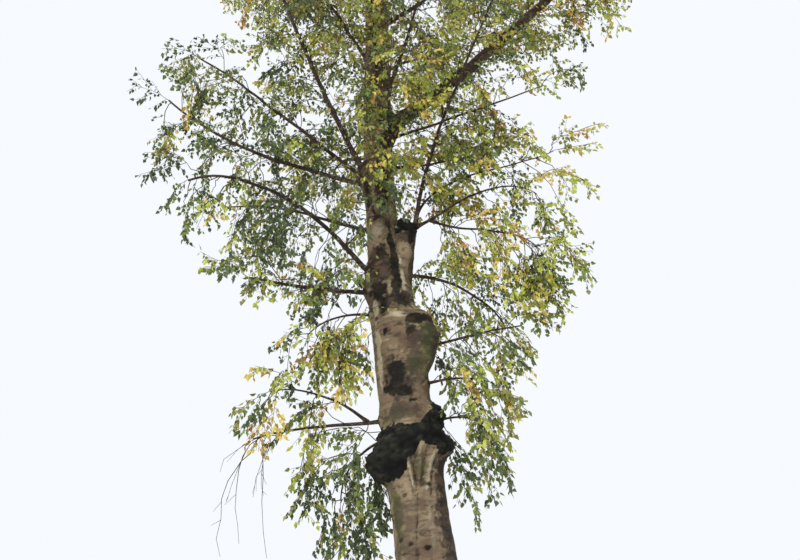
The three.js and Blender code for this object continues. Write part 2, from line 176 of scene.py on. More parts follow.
floor_turns = [2 * math.pi * at / FLOOR_SIDES for at in range(FLOOR_SIDES)]
floor_ring = [(FLOOR_RADIUS * math.cos(turn), FLOOR_RADIUS * math.sin(turn), -FLOOR_DROP)
              for turn in floor_turns]
floor_mesh = bpy.data.meshes.new("floor")
floor_mesh.from_pydata(floor_ring, [], [list(range(FLOOR_SIDES))])
floor = new_object("floor", floor_mesh)
floor_finish = Finish("pale_floor")
floor_grain = floor_finish.cloud(floor_finish.place(), FLOOR_GRAIN)
floor_finish.feed(floor_finish.surface["Base Color"],
                  floor_finish.blend(floor_grain, *[rgba(tone) for tone in FLOOR_TONES]))
floor_finish.surface["Roughness"].default_value = FLOOR_ROUGHNESS
floor_mesh.materials.append(floor_finish.material)

surround = bpy.data.worlds.new("surround")
surround.use_nodes = True
background = surround.node_tree.nodes["Background"].inputs
background["Color"].default_value = SURROUND_COLOUR
background["Strength"].default_value = SURROUND_STRENGTH
bpy.context.scene.world = surround
bpy.context.scene.view_settings.view_transform = "Standard"

lamp_data = bpy.data.lights.new("lamp", "SUN")
lamp_data.energy = LAMP_STRENGTH
lamp_data.angle = LAMP_SPREAD
lamp = new_object("lamp", lamp_data)
lamp.rotation_euler = LAMP_TILT

# Trunk. One stem from the cut at the ground to its tip, plumb up to the fork and leaning to
# the right above it. Thin papery bark, pinkish cream with dark breathing pores, turns to black
# cork on the burrs and at the root flare, and folds into arches over the feet of the limbs.
TRUNK_TOP = 15.2
BEND_HEIGHT = 5.4
BEND_ROUND = 0.707
LEAN_LOW = 0.022
LEAN_HIGH = 0.135
LEAN_SPAN = 10.6
SWAY = 0.03
SWAY_WAVE = 0.6
TRUNK_PROFILE = [(0, 0.225), (1.3, 0.222), (4.2, 0.198), (4.9, 0.15), (8.2, 0.13), (12, 0.07),
                 (TRUNK_TOP, 0.014)]
FLARE_REACH = 0.135
FLARE_FALL = 0.23
FLARE_LOBES = 5
FLARE_DEPTH = 0.38
FLARE_TURN = 20
# Each swelling has its height, turn, how far it stands out, half its height and half its width
BURRS = [
    (2.8, 212, 0.15, 0.12, 30), (2.69, 207, 0.05, 0.075, 18), (2.88, 254, 0.07, 0.095, 26),
    (2.94, 284, 0.062, 0.095, 22), (2.92, 308, 0.068, 0.095, 22), (2.84, 343, 0.1, 0.105, 26),
    (3.11, 353, 0.055, 0.085, 22), (2.9, 48, 0.06, 0.12, 40), (2.84, 128, 0.075, 0.12, 42),
    (3.76, 347, 0.165, 0.17, 38), (3.56, 343, 0.055, 0.09, 26), (3.96, 350, 0.08, 0.09, 26),
    (4.33, 214, 0.05, 0.11, 34), (5.56, 210, 0.04, 0.13, 46),
]
TRUNK_SIDES = 136
# Rings of the mesh: up to this height, so many of them
TRUNK_BANDS = [(0.7, 34), (2.0, 46), (5.3, 290), (8.4, 90), (TRUNK_TOP, 60)]
# The black collar of burrs: turn, lower edge and upper edge
COLLAR = [
    (0, 2.78, 3.2), (48, 2.75, 3.06), (90, 2.76, 3.02), (128, 2.7, 3.02), (170, 2.7, 3.04),
    (212, 2.66, 3.03), (224, 2.63, 3.03), (240, 2.64, 3.04), (252, 2.67, 3.04),
    (263, 2.735, 3.03), (272, 2.79, 3.02), (289, 2.86, 3.0), (305, 2.83, 3.04),
    (317, 2.79, 3.08), (330, 2.77, 3.14), (345, 2.77, 3.22), (360, 2.78, 3.2),
]
# Patches of the bark by their kind: height, turn, half the height, half the width, strength
PATCHES = {
    # Scars, and painted shade in the dark strip of the crotch between the trunk and the stub and
    # under the union of the upper limbs
    "wound": [
        (3.45, 262, 0.13, 24, 1.0), (3.34, 246, 0.075, 28, 1.0), (3.29, 274, 0.05, 20, 0.95),
        (3.21, 290, 0.018, 18, 0.8), (3.9, 322, 0.065, 24, 1.0), (3.8, 304, 0.06, 11, 0.75),
        (4.2, 240, 0.085, 34, 1.0), (4.09, 250, 0.15, 12, 0.85), (4.52, 296, 0.4, 15, 1.0),
        (4.24, 290, 0.15, 15, 0.95), (4.1, 300, 0.09, 26, 0.7), (4.62, 262, 0.1, 22, 0.7),
        (5.38, 285, 0.3, 34, 0.85), (5.3, 225, 0.2, 24, 0.75), (3.76, 2, 0.2, 14, 0.8),
        (3.83, 246, 0.04, 8, 0.85), (2.19, 246, 0.015, 6, 0.7), (2.15, 277, 0.02, 9, 0.85),
        (2.23, 222, 0.022, 9, 0.7), (2.57, 296, 0.018, 16, 0.7), (6.15, 300, 0.1, 24, 0.7),
        (6.7, 262, 0.12, 20, 0.6), (7.4, 285, 0.09, 24, 0.6), (8.1, 250, 0.08, 26, 0.5),
    ],
    "blush": [
        (3.83, 253, 0.035, 13, 0.9), (3.72, 290, 0.12, 26, 0.4), (4.46, 214, 0.2, 11, 0.8),
        (4.55, 240, 0.16, 26, 0.6), (2.3, 270, 0.35, 26, 0.35), (7.9, 270, 0.5, 60, 0.4),
        (6.6, 250, 0.5, 50, 0.25),
    ],
    # Painted shade, with some darker bark round the scars: the right of the lower trunk, the lower
    # front, the folds under the collar, the arch under the stub, beside the right burr, and high up
    # under the limbs and their leaves
    "shade": [
        (4.47, 246, 0.24, 44, 1.0), (4.12, 285, 0.09, 62, 0.85), (2.62, 348, 0.24, 40, 1.0),
        (2.3, 342, 0.3, 50, 1.0), (1.9, 338, 0.35, 54, 1.0), (1.45, 336, 0.4, 52, 1.0),
        (0.9, 332, 0.4, 46, 0.8), (2.6, 280, 0.2, 34, 0.4), (5.9, 320, 0.5, 44, 0.8),
        (6.9, 300, 0.5, 40, 0.6), (5.0, 262, 0.28, 60, 0.5), (3.72, 306, 0.14, 20, 0.7),
        (3.5, 300, 0.18, 34, 0.5), (3.75, 356, 0.35, 26, 0.8), (3.4, 262, 0.24, 40, 0.75),
        (3.15, 262, 0.1, 60, 0.6), (2.3, 262, 0.5, 70, 0.5), (1.5, 262, 0.5, 80, 0.55),
    ],
    "algae": [
        (3.68, 338, 0.27, 28, 1.0), (3.13, 250, 0.1, 50, 0.65), (2.4, 222, 0.4, 17, 0.7),
        (4.04, 246, 0.12, 14, 0.6), (3.5, 300, 0.16, 24, 0.75), (1.3, 110, 1.2, 55, 0.55),
        (2.68, 283, 0.13, 22, 0.6), (5.0, 280, 0.25, 30, 0.6), (5.7, 262, 0.4, 40, 0.5),
        (4.6, 320, 0.3, 20, 0.4),
    ],
    # Pale bark, and painted highlights on the ribs of the folds under the collar
    "pale": [
        (4.08, 226, 0.1, 11, 0.9), (3.96, 278, 0.03, 40, 0.6), (3.6, 220, 0.3, 11, 0.8),
        (2.7, 318, 0.07, 12, 0.8), (2.62, 296, 0.12, 10, 0.5), (3.15, 285, 0.03, 30, 0.4),
        (4.36, 268, 0.05, 13, 0.9), (4.86, 256, 0.1, 30, 0.6), (4.3, 312, 0.16, 10, 0.7),
        (2.3, 290, 0.25, 9, 0.5),
    ],
}
# Waves of the bark's edges and relief: size, octaves and stretch
RAGGED_WAVES = (0.12, 5)
FINE_WAVES = (0.03, 3)
SWELL_WAVES = (0.35, 3)
RIPPLE_WAVES = (0.06, 4, (3, 3, 0.7))
CORK_WAVES = (0.07, 4, (1, 1, 3.2))
KNOB_SIZES = (0.085, 0.036)
# The edges of patches, of the collar and of the root's cork: how far waves shift them, how sharp
# they are, and past where they count as far off
PATCH_RAGGED = 0.4
PATCH_FINE = 0.22
PATCH_SHARP = 4
PATCH_FAR = 8
EDGE_FAR = 30
COLLAR_RAGGED = 0.22
COLLAR_FINE = 0.1
COLLAR_SHARP = 22
ROOT_HEIGHT = 0.85
ROOT_RAGGED = 0.35
# How high the relief stands, or how deep it cuts
SWELL_HEIGHT = 0.008
RIPPLE_HEIGHT = 0.003
COLLAR_HEIGHT = 0.02
KNOB_HEIGHTS = (0.055, 0.022)
KNOB_LEVELS = (0.55, 0.5)
COLLAR_ROUGH = 0.012
# How much the small knobs add to the painted shade in the collar's clefts
SMALL_CLEFT_SHADE = 0.9
WOUND_DEPTH = (0.008, 0.01)
CORK_HEIGHT = 0.022
CORK_SINK = 0.012
CRACK_WANDER = 0.012
# How dark cracks are painted, partly as dark inner bark and partly as painted shade in the crease
CRACK_DARK_AND_SHADE = (0.5, 0.3)
# How light ridges are painted, as a painted highlight
RIDGE_HIGHLIGHT = 0.6
# The swollen foot of a limb, the folded arch over it and the dark eye round it, in sizes of the
# foot, which is the limb's radius and the bark's thickness there
FOOT_BARK = 0.014
FOOT_HEIGHT = 0.7
FOOT_WIDTH = 2.0
ARCH_RISE = 1.9
ARCH_SLOPE = 0.85
ARCH_ROUGH = 0.006
ARCH_LINE = (0.012, 0.12)
ARCH_WIDTH = 4.2
ARCH_DEPTH = 0.007
ARCH_MARK = 0.6
EYE_WIDTH = 1.5
EYE_ROUGH = 0.3
EYE_MARK = 0.7
# Cracks and folds: places as heights and turns, depth (a ridge where negative) and half width
CRACKS = [
    ([(2.8, 279), (2.69, 272), (2.55, 272), (2.45, 271), (2.355, 265), (2.265, 260),
      (2.17, 258), (2.0, 254), (1.7, 256)], 0.014, 0.009),
    ([(2.8, 269), (2.71, 271), (2.58, 272)], 0.018, 0.011),
    ([(2.84, 302), (2.74, 298), (2.565, 281)], 0.02, 0.012),
    ([(2.72, 258), (2.6, 262), (2.5, 266)], 0.014, 0.01),
    ([(2.79, 322), (2.66, 312), (2.5, 300)], 0.014, 0.01),
    ([(2.78, 262), (2.68, 264), (2.56, 266)], -0.016, 0.016),
    ([(2.85, 289), (2.74, 286), (2.6, 279)], -0.018, 0.016),
    ([(2.8, 314), (2.7, 306), (2.54, 292)], -0.014, 0.018),
    ([(2.58, 281), (2.56, 298), (2.55, 316)], 0.007, 0.008),
    ([(2.16, 204), (2.13, 240), (2.11, 262)], 0.006, 0.009),
    ([(4.03, 240), (4.13, 256), (4.16, 288), (4.12, 312), (4.02, 326)], 0.016, 0.012),
    ([(3.98, 222), (3.95, 262), (3.93, 309)], -0.01, 0.012),
    ([(4.47, 216), (4.6, 228), (4.65, 246), (4.62, 270), (4.5, 288)], 0.016, 0.012),
    ([(3.71, 296), (3.72, 306), (3.79, 307)], 0.008, 0.008),
]
# Limbs: name, what it grows from, its height there (or share of the carrying limb, or offset
# from the middle of the stub's top), turns at foot and tip, rises at foot, middle and tip,
# length, radius at the foot, the share that is a bare bough, the share past which it is bare
LIMBS = [
    ("left_hanging", "trunk", 3.15, (184, 196), (-5, 2, -14), 1.2, 0.018, 0.5, 0.7),
    ("left_rising", "left_hanging", 0.26, (200, 214), (46, 20, -14), 0.85, 0.012, 0, 1),
    ("left_lowest", "trunk", 3.04, (165, 150), (-6, -24, -84), 0.85, 0.014, 0, 1),
    ("left_yellow", "trunk", 4.0, (190, 200), (24, -4, -50), 0.8, 0.014, 0, 1),
    ("left_level", "trunk", 4.28, (203, 212), (-8, 4, 2), 1.25, 0.024, 0.7, 1),
    ("left_arching", "trunk", 4.22, (205, 216), (54, 37, -34), 2.2, 0.026, 0.42, 1),
    ("left_wide", "trunk", 5.42, (200, 206), (14, 20, 48), 2.15, 0.024, 0.36, 1),
    ("left_slanting", "trunk", 5.42, (204, 210), (39, 41, 30), 2.15, 0.022, 0.36, 1),
    ("left_steep", "trunk", 5.31, (226, 238), (56, 68, 62), 2.9, 0.03, 0.36, 1),
    ("left_upper", "trunk", 6.95, (212, 196), (62, 68, 52), 2.2, 0.022, 0.34, 1),
    ("left_inner", "trunk", 4.9, (150, 172), (34, 36, 10), 2.1, 0.02, 0, 1),
    ("right_main", "trunk", 6.1, (352, 346), (22, 31, 27), 3.3, 0.078, 0.6, 1),
    ("right_fork", "right_main", 0.36, (38, 20), (46, 42, 20), 1.7, 0.024, 0, 1),
    ("right_steep", "trunk", 6.45, (350, 330), (55, 64, 50), 2.2, 0.024, 0.34, 1),
    ("right_short", "trunk", 5.66, (15, 0), (2, 5, 0), 1.2, 0.016, 0, 1),
    ("right_level", "trunk", 5.99, (352, 0), (4, 8, 16), 1.8, 0.016, 0.4, 1),
    ("right_burr", "trunk", 3.72, (20, 350), (0, 8, -10), 1.1, 0.016, 0, 1),
    ("right_scar", "trunk", 3.36, (345, 350), (8, -8, -24), 0.7, 0.014, 0, 1),
    ("right_lowest", "trunk", 3.02, (2, 8), (10, 4, -50), 0.6, 0.014, 0, 1),
    ("stub_upright", "stub", (0.08, -0.03, -0.06), (338, 318), (74, 52, 48), 2.9, 0.02, 0.34, 1),
    ("stub_level", "stub_upright", 0.04, (0, 350), (66, 4, 14), 1.5, 0.012, 0, 1),
    ("stub_arching", "stub", (0.09, 0, -0.03), (0, 350), (16, 14, -60), 1.25, 0.014, 0.4, 1),
    ("stub_hanging", "stub_arching", 0.12, (350, 340), (-46, -26, -70), 1.1, 0.012, 0, 1),
    ("back_low", "trunk", 4.45, (50, 36), (16, -2, -60), 1.6, 0.022, 0.38, 1),
    ("back_middle", "trunk", 5.85, (118, 104), (34, 38, 16), 2.3, 0.026, 0.36, 1),
    ("back_upper", "trunk", 7.0, (58, 66), (42, 48, 30), 2.3, 0.024, 0, 1),
    ("front_low", "trunk", 5.3, (296, 290), (38, 54, 44), 1.3, 0.014, 0, 1),
    ("front_middle", "trunk", 6.55, (282, 272), (40, 46, 30), 1.9, 0.02, 0, 1),
    ("front_upper", "trunk", 7.65, (262, 256), (42, 50, 34), 2.0, 0.022, 0, 1),
    ("collar_shoots", "trunk", 4.9, (258, 254), (22, 44, 66), 1.0, 0.012, 0, 1),
]
# Limbs of the upper crown wind up the trunk, shorter and steeper towards the tip
TOP_LIMBS = 11
TOP_BOUGHS = 2
TOP_HEIGHTS = (7.7, 14.7)
TOP_TURN = 20
TOP_TURN_SWING = 12
TOP_LENGTHS = (3.0, 0.9)
TOP_SHORTEN = 1.2
TOP_RISES = (38, 56)
TOP_RISE_SWING = (0, 8, -22)
TOP_RADII = (0.027, 0.011)
TOP_BARE = 0.34
LEADER_GAP = 0.0003
LEADER_RISES = (90, 88, 84)
LEADER_LENGTH = 0.56
LEADER_RADIUS = 0.012
GOLDEN_TURN = 137.5
STUB_TOP = Vector((0.345, -0.045, 4.9))
LIMB_STEPS = 40
TIP_SHARE = 0.36


def between(first, second, share):
    return first + (second - first) * share


def lean(height):
    past = height - BEND_HEIGHT
    eased = 0.5 * (past + np.hypot(past, BEND_ROUND))
    return LEAN_LOW * height + LEAN_HIGH * (eased - eased * eased / (2 * LEAN_SPAN))


def trunk_axis(height):
    height = np.asarray(height, float)
    return np.stack([lean(height) - lean(0.0), SWAY * np.sin(SWAY_WAVE * height), height], -1)


def turned(first, second):
    """The shortest way round from one turn to another."""
    return (np.asarray(second, float) - first + 540) % 360 - 180


def girth(height):
    """The trunk's plain radius, without its flare and burrs."""
    return np.interp(height, *zip(*TRUNK_PROFILE))


def trunk_radius(height, turn):
    lobes = 1 + FLARE_DEPTH * np.cos(np.radians(FLARE_LOBES * (turn - FLARE_TURN)))
    radius = girth(height) + FLARE_REACH * lobes * np.exp(-height / FLARE_FALL)
    for at, towards, reach, tall, wide in BURRS:
        spread = ((height - at) / tall) ** 2 + (turned(towards, turn) / wide) ** 2
        radius = radius + reach * np.exp(-spread)
    return radius


def heads(turn, rise):
    """Unit vectors ahead, to the side and under, for turns and rises in degrees."""
    turn, rise = np.radians(turn), np.radians(rise)
    level_run = np.cos(rise)
    ahead = np.stack([np.cos(turn) * level_run, np.sin(turn) * level_run, np.sin(rise)], -1)
    side = np.stack([-np.sin(turn), np.cos(turn), np.zeros_like(turn)], -1)
    return ahead, side, np.cross(side, ahead)


def headings(turns, rises, shares):
    """Turns swing evenly and rises swing on a smooth curve, for many limbs at many shares."""
    turns, rises = np.asarray(turns, float), np.asarray(rises, float)
    turn = turns[:, :1] + turned(turns[:, :1], turns[:, 1:]) * shares
    rise = (rises[:, :1] * (1 - shares) * (1 - 2 * shares)
            + rises[:, 1:2] * 4 * shares * (1 - shares)
            + rises[:, 2:] * shares * (2 * shares - 1))
    return turn, rise


def runs(starts, turns, rises, lengths, steps):
    """The places along many limbs or twigs at once, a row of steps + 1 for each."""
    middles = (np.arange(steps) + 0.5) / steps
    ahead = heads(*headings(turns, rises, middles))[0]
    strides = ahead * (np.asarray(lengths, float)[:, None, None] / steps)
    starts = np.asarray(starts, float)[:, None]
    return np.concatenate([starts, starts + np.cumsum(strides, 1)], 1)


class Limb:
    """A limb with its run worked out from what carries it."""

    def __init__(self, name, carrier, foot, turns, rises, length, radius, bare, leafy):
        self.name, self.carrier, self.foot = name, carrier, foot
        self.turns, self.rises, self.length, self.radius = turns, rises, length, radius
        self.bare, self.leafy = bare, leafy
        if carrier == "trunk":
            start = trunk_axis(foot)
        elif carrier == "stub":
            start = np.array(STUB_TOP) + foot
        else:
            start = limbs[carrier].at([foot])[0]
        self.places = runs([start], [turns], [rises], [length], LIMB_STEPS)[0]

    def at(self, shares):
        steps = np.linspace(0, 1, LIMB_STEPS + 1)
        return np.stack([np.interp(shares, steps, self.places[:, axis]) for axis in range(3)], -1)

    def heading(self, shares):
        turn, rise = headings([self.turns], [self.rises], np.asarray(shares, float))
        return turn[0], rise[0]

    def thickness(self, shares):
        return self.radius * (1 - (1 - TIP_SHARE) * np.asarray(shares, float))


limbs = {}
for row in LIMBS:
    limbs[row[0]] = Limb(*row)
for order in range(TOP_LIMBS):
    share = order / (TOP_LIMBS - 1)
    turn = (TOP_TURN + GOLDEN_TURN * order) % 360
    rise = between(*TOP_RISES, share)
    limbs[f"top_{order + 1}"] = Limb(
        f"top_{order + 1}", "trunk", between(*TOP_HEIGHTS, share), (turn, turn + TOP_TURN_SWING),
        [rise + swing for swing in TOP_RISE_SWING], between(*TOP_LENGTHS, share ** TOP_SHORTEN),
        between(*TOP_RADII, share), TOP_BARE if order < TOP_BOUGHS else 0, 1)
limbs["leader"] = Limb("leader", "trunk", TRUNK_TOP + LEADER_GAP, (0, 0), LEADER_RISES,
                       LEADER_LENGTH, LEADER_RADIUS, 0, 1)


def waves(points, size, octaves, stretch=(1, 1, 1)):
    """Rough noise from about -1 to 1, with waves of a given size that may be stretched. Each
    octave has waves half as long and half as high as the one before."""
    scaled = points / (size * np.array(stretch, float))
    return np.array([noise.fractal(point, 1.0, 2.0, octaves) for point in scaled.tolist()])


def crags(points, size):
    """Knobbly noise from 0 to about 1, with sharp clefts between rounded lumps."""
    return np.array([noise.voronoi(point)[0][0] for point in (points / size).tolist()])


def plateau(spread):
    """1 inside a patch, falling to 0 outside it."""
    return np.exp(-np.clip(spread, 0, PATCH_FAR) ** PATCH_SHARP)


def soft_edge(past):
    """1 well before an edge, 0 well past it."""
    return 1 / (1 + np.exp(np.clip(past, -EDGE_FAR, EDGE_FAR)))


def patch_marks(patches, height, turn, ragged, fine):
    """How strongly each kind of patch marks each place of the bark."""
    marks = {kind: np.zeros_like(height) for kind in PATCHES}
    for kind, rows in patches.items():
        for at, towards, tall, wide, strength in rows:
            spread = ((height - at) / tall) ** 2 + (turned(towards, turn) / wide) ** 2
            spread = np.sqrt(spread) + PATCH_RAGGED * ragged + PATCH_FINE * fine
            patch = strength * plateau(np.maximum(spread, 0))
            marks[kind] = np.maximum(marks[kind], patch)
    return marks


def distance_to_run(height, arc, run):
    """How far places on unrolled bark lie from a crack, given as heights and arc lengths."""
    nearest = np.full(height.shape, 1.0)
    for (low, first), (high, second) in zip(run, run[1:]):
        along = np.array([high - low, second - first])
        share = ((height - low) * along[0] + (arc - first) * along[1]) / max(along @ along, 1e-9)
        share = np.clip(share, 0, 1)
        gap = np.hypot(height - low - share * along[0], arc - first - share * along[1])
        nearest = np.minimum(nearest, gap)
    return nearest


def limb_feet():
    """Where limbs leave the trunk's surface: height, turn and radius there."""
    feet = []
    for limb in limbs.values():
        if limb.carrier != "trunk" or limb.name == "leader":
            continue
        offset = limb.places - trunk_axis(limb.places[:, 2])
        out = np.hypot(offset[:, 0], offset[:, 1])
        towards = np.degrees(np.arctan2(offset[:, 1], offset[:, 0]))
        leaves = int(np.argmax(out > trunk_radius(limb.places[:, 2], towards)))
        feet.append((limb.places[leaves, 2], towards[leaves] % 360, limb.radius))
    return feet


def mesh_of(name, places, faces, finishes, smooth=True):
    """A mesh from arrays of places and of faces that all have the same number of corners."""
    faces = np.asarray(faces, np.int32)
    mesh = bpy.data.meshes.new(name)
    mesh.vertices.add(len(places))
    mesh.vertices.foreach_set("co", np.asarray(places, np.float32).ravel())
    mesh.loops.add(faces.size)
    mesh.loops.foreach_set("vertex_index", faces.ravel())
    mesh.polygons.add(len(faces))
    mesh.polygons.foreach_set("loop_start", np.arange(0, faces.size, faces.shape[1],
                                                      dtype=np.int32))
    mesh.polygons.foreach_set("use_smooth", np.full(len(faces), smooth))
    mesh.update(calc_edges=True)
    for finish in finishes:
        mesh.materials.append(finish)
    return mesh


def paint(mesh, name, values):
    mesh.attributes.new(name, "FLOAT", "POINT").data.foreach_set(
        "value", np.asarray(values, np.float32))


def ring_grid(levels, sides):
    """The level and the turn of each place on rings, and its way out."""
    turns = np.arange(sides) * 360 / sides
    level, turn = (grid.ravel() for grid in np.meshgrid(levels, turns, indexing="ij"))
    out = np.stack([np.cos(np.radians(turn)), np.sin(np.radians(turn)), np.zeros_like(turn)], -1)
    return level, turn, out


def ring_faces(rings, sides):
    """Quads between rings of places that close on themselves."""
    lower = (np.arange(rings - 1)[:, None] * sides + np.arange(sides)).ravel()
    following = (np.arange(rings - 1)[:, None] * sides + (np.arange(sides) + 1) % sides).ravel()
    return np.stack([lower, following, following + sides, lower + sides], 1)


def halved(quads):
    """Quads as triangles."""
    return np.concatenate([quads[:, [0, 1, 2]], quads[:, [0, 2, 3]]])


def cap(first, sides, middle, faces_up):
    """A fan of triangles that closes a ring of places round a middle place."""
    here = first + np.arange(sides)
    following = first + (np.arange(sides) + 1) % sides
    rim = [here, following] if faces_up else [following, here]
    return np.stack([*rim, np.full(sides, middle)], 1)


heights = [0.0]
for top, rings in TRUNK_BANDS:
    heights.extend(np.linspace(heights[-1], top, rings + 1)[1:])
height, turn, outward = ring_grid(heights, TRUNK_SIDES)
radius = trunk_radius(height, turn)
surface = trunk_axis(height) + outward * radius[:, None]
arc = np.radians(turn) * girth(height)

ragged = waves(surface, *RAGGED_WAVES)
fine = waves(surface, *FINE_WAVES)
marks = patch_marks(PATCHES, height, turn, ragged, fine)
collar_turns, lows, highs = zip(*COLLAR)
collar_low, collar_high = np.interp(turn, collar_turns, lows), np.interp(turn, collar_turns, highs)
collar_middle, collar_half = (collar_low + collar_high) / 2, (collar_high - collar_low) / 2
across = np.abs(height - collar_middle) / collar_half
across = across + COLLAR_RAGGED * ragged + COLLAR_FINE * fine
burr = soft_edge((across - 1) * COLLAR_SHARP)
root = plateau(np.maximum(height / ROOT_HEIGHT + ROOT_RAGGED * ragged, 0))

relief = SWELL_HEIGHT * waves(surface, *SWELL_WAVES)
relief += RIPPLE_HEIGHT * waves(surface, *RIPPLE_WAVES)
knobs, small_knobs = (crags(surface, size) for size in KNOB_SIZES)
relief += burr * (COLLAR_HEIGHT + KNOB_HEIGHTS[0] * (KNOB_LEVELS[0] - knobs)
                  + KNOB_HEIGHTS[1] * (KNOB_LEVELS[1] - small_knobs) + COLLAR_ROUGH * ragged)
# Painted shade in the clefts between the collar's knobs, rising from the lumps into the clefts
painted_cleft_shade = np.maximum(knobs, SMALL_CLEFT_SHADE * small_knobs)
relief -= marks["wound"] * (WOUND_DEPTH[0] + WOUND_DEPTH[1] * np.abs(fine))
corky = 0.5 + 0.5 * waves(surface, *CORK_WAVES)
relief += root * (CORK_HEIGHT * corky - CORK_SINK)
# Along cracks the colour is darkened, partly as dark inner bark and partly as painted shade in the
# crease; along ridges it is lightened as a painted highlight
for run, depth, half in CRACKS:
    unrolled = [(at, math.radians(towards) * float(girth(at))) for at, towards in run]
    near = distance_to_run(height + CRACK_WANDER * ragged, arc + CRACK_WANDER * fine, unrolled)
    closeness = np.exp(-(near / half) ** 2)
    relief -= depth * closeness
    if depth > 0:
        crack_dark_and_shade = (CRACK_DARK_AND_SHADE[0] + CRACK_DARK_AND_SHADE[1] * ragged) * closeness
        marks["wound"] = np.maximum(marks["wound"], crack_dark_and_shade)
    else:
        marks["pale"] = np.maximum(marks["pale"], RIDGE_HIGHLIGHT * closeness)
for at, towards, thick in limb_feet():
    aside = np.radians(turned(towards, turn)) * float(girth(at))
    up = height - at
    size = thick + FOOT_BARK
    relief += FOOT_HEIGHT * size * np.exp(-(aside ** 2 + up ** 2) / (FOOT_WIDTH * size) ** 2)
    fold = up - ARCH_RISE * size + ARCH_SLOPE * np.abs(aside) + ARCH_ROUGH * fine
    arch = np.exp(-(fold / (ARCH_LINE[0] + ARCH_LINE[1] * size)) ** 2)
    arch = arch * plateau(np.abs(aside) / (ARCH_WIDTH * size))
    relief -= ARCH_DEPTH * arch
    marks["wound"] = np.maximum(marks["wound"], ARCH_MARK * arch)
    eye = plateau(np.hypot(aside, up) / (EYE_WIDTH * size) + EYE_ROUGH * fine)
    marks["wound"] = np.maximum(marks["wound"], EYE_MARK * eye)

skin = trunk_axis(height) + outward * (radius + relief)[:, None]
skin[:TRUNK_SIDES, 2] = 0
last = len(skin)
skin = np.concatenate([skin, trunk_axis([0.0, TRUNK_TOP])])
trunk_faces = np.concatenate([
    halved(ring_faces(len(heights), TRUNK_SIDES)), cap(0, TRUNK_SIDES, last, False),
    cap(last - TRUNK_SIDES, TRUNK_SIDES, last + 1, True)])


# Waves of the pores' group: size in metres, detail and stretch
DASH_WAVES = (0.022, 2.0, (3.2, 3.2, 0.45))
DASH_EDGE = (0.6, 0.72)
WHERE_WAVES = (0.16, 2.0)
WHERE_EDGE = (0.42, 0.62)
BAND_WAVES = (0.06, 4.0, (4, 4, 0.5))


def breathing_pores():
    """A group that gives the thin dark dashes that lie across birch bark, and its papery bands."""
    group = bpy.data.node_groups.new("breathing_pores", "ShaderNodeTree")
    group.interface.new_socket("Place", in_out="INPUT", socket_type="NodeSocketVector")
    size = group.interface.new_socket("Size", in_out="INPUT", socket_type="NodeSocketFloat")
    size.default_value = 1.0
    group.interface.new_socket("Dashes", in_out="OUTPUT", socket_type="NodeSocketFloat")
    group.interface.new_socket("Bands", in_out="OUTPUT", socket_type="NodeSocketFloat")
    work = Finish(tree=group)
    entry = group.nodes.new("NodeGroupInput")
    leave = group.nodes.new("NodeGroupOutput")
    shrunk = work.node("ShaderNodeVectorMath", {"operation": "DIVIDE"})
    group.links.new(entry.outputs["Place"], shrunk.inputs[0])
    group.links.new(entry.outputs["Size"], shrunk.inputs[1])
    spot = shrunk.outputs[0]
    long_dashes = work.step(work.cloud(spot, *DASH_WAVES), *DASH_EDGE)
    where = work.step(work.cloud(spot, *WHERE_WAVES), *WHERE_EDGE)
    group.links.new(work.math("MULTIPLY", long_dashes, where), leave.inputs["Dashes"])
    group.links.new(work.cloud(spot, *BAND_WAVES), leave.inputs["Bands"])
    return group


pores_group = breathing_pores()


def pores(finish, place, size):
    made = finish.node("ShaderNodeGroup", {"node_tree": pores_group}, Place=place, Size=size)
    return made.outputs["Dashes"], made.outputs["Bands"]


# The bark's waves, and its colours with the values of a wave between which each comes in
BROAD_WAVES = (0.5, 3.0)
MOTTLE_WAVES = (0.07, 5.0, (1.5, 1.5, 0.8))
GRAIN_WAVES = (0.012, 5.0)
BLOTCH_WAVES = (0.19, 4.0, (1, 1, 1.4))
TRUNK_PORES = 1.0
# These tones, like the layers and patches over them, are set darker than the bark's own pinkish
# cream, as painted shade over the whole trunk and stub
BARK_TONES = (0.38, 0.62, "7f6b55", "958469")
BARK_LAYERS = [("blotch", 0.5, 0.68, "64533f"), ("bands", 0.48, 0.7, "655848"),
               ("mottle", 0.56, 0.75, "aa9c7e"), ("mottle", 0.46, 0.3, "4c4133")]
# Where a painted patch starts and is full, and how far the mottling breaks up its edge
PATCH_EDGE = (0.25, 0.75, 1.1)
# Pale bark, also used for the painted highlights on ridges and on the stub
PALE_BARK_AND_HIGHLIGHT_TONE = "b6aa8e"
# Tones of the painted patches: the shade pair is painted shade with darker bark, and the wound pair
# paints scars and also painted shade in the crotches and cracks
PATCH_TONES = {"algae": (0.4, 0.65, "3c3f28", "62603b"), "shade": (0.38, 0.66, "2e2722", "57493b"),
               "blush": (0.4, 0.6, "4b3833", "735645"), "wound": (0.4, 0.7, "17140f", "352e22")}
DASH_TONE = "41342b"
BURR_TONES = (0.45, 0.55, "1e1c1b", "25261c")
BURR_LIGHT = (0.5, 0.75, "3f3b31")
# The near-black of the painted shade in the burrs' clefts
BURR_CLEFT_SHADE = (0.35, 0.75, "0b0a0b")
BURR_EDGE = (0.3, 0.55, 1.1)
ROOT_TONES = (0.45, 0.6, "2f2926", "8d8276")
ROOT_EDGE = (0.3, 0.7, 0.9)
BARK_GLOSS = 0.2
BARK_ROUGHNESS = (0.25, 0.65)
BUMP_MOTTLE = 0.8
BUMP_DASHES = 0.3
TRUNK_BUMP = (0.5, 0.006)

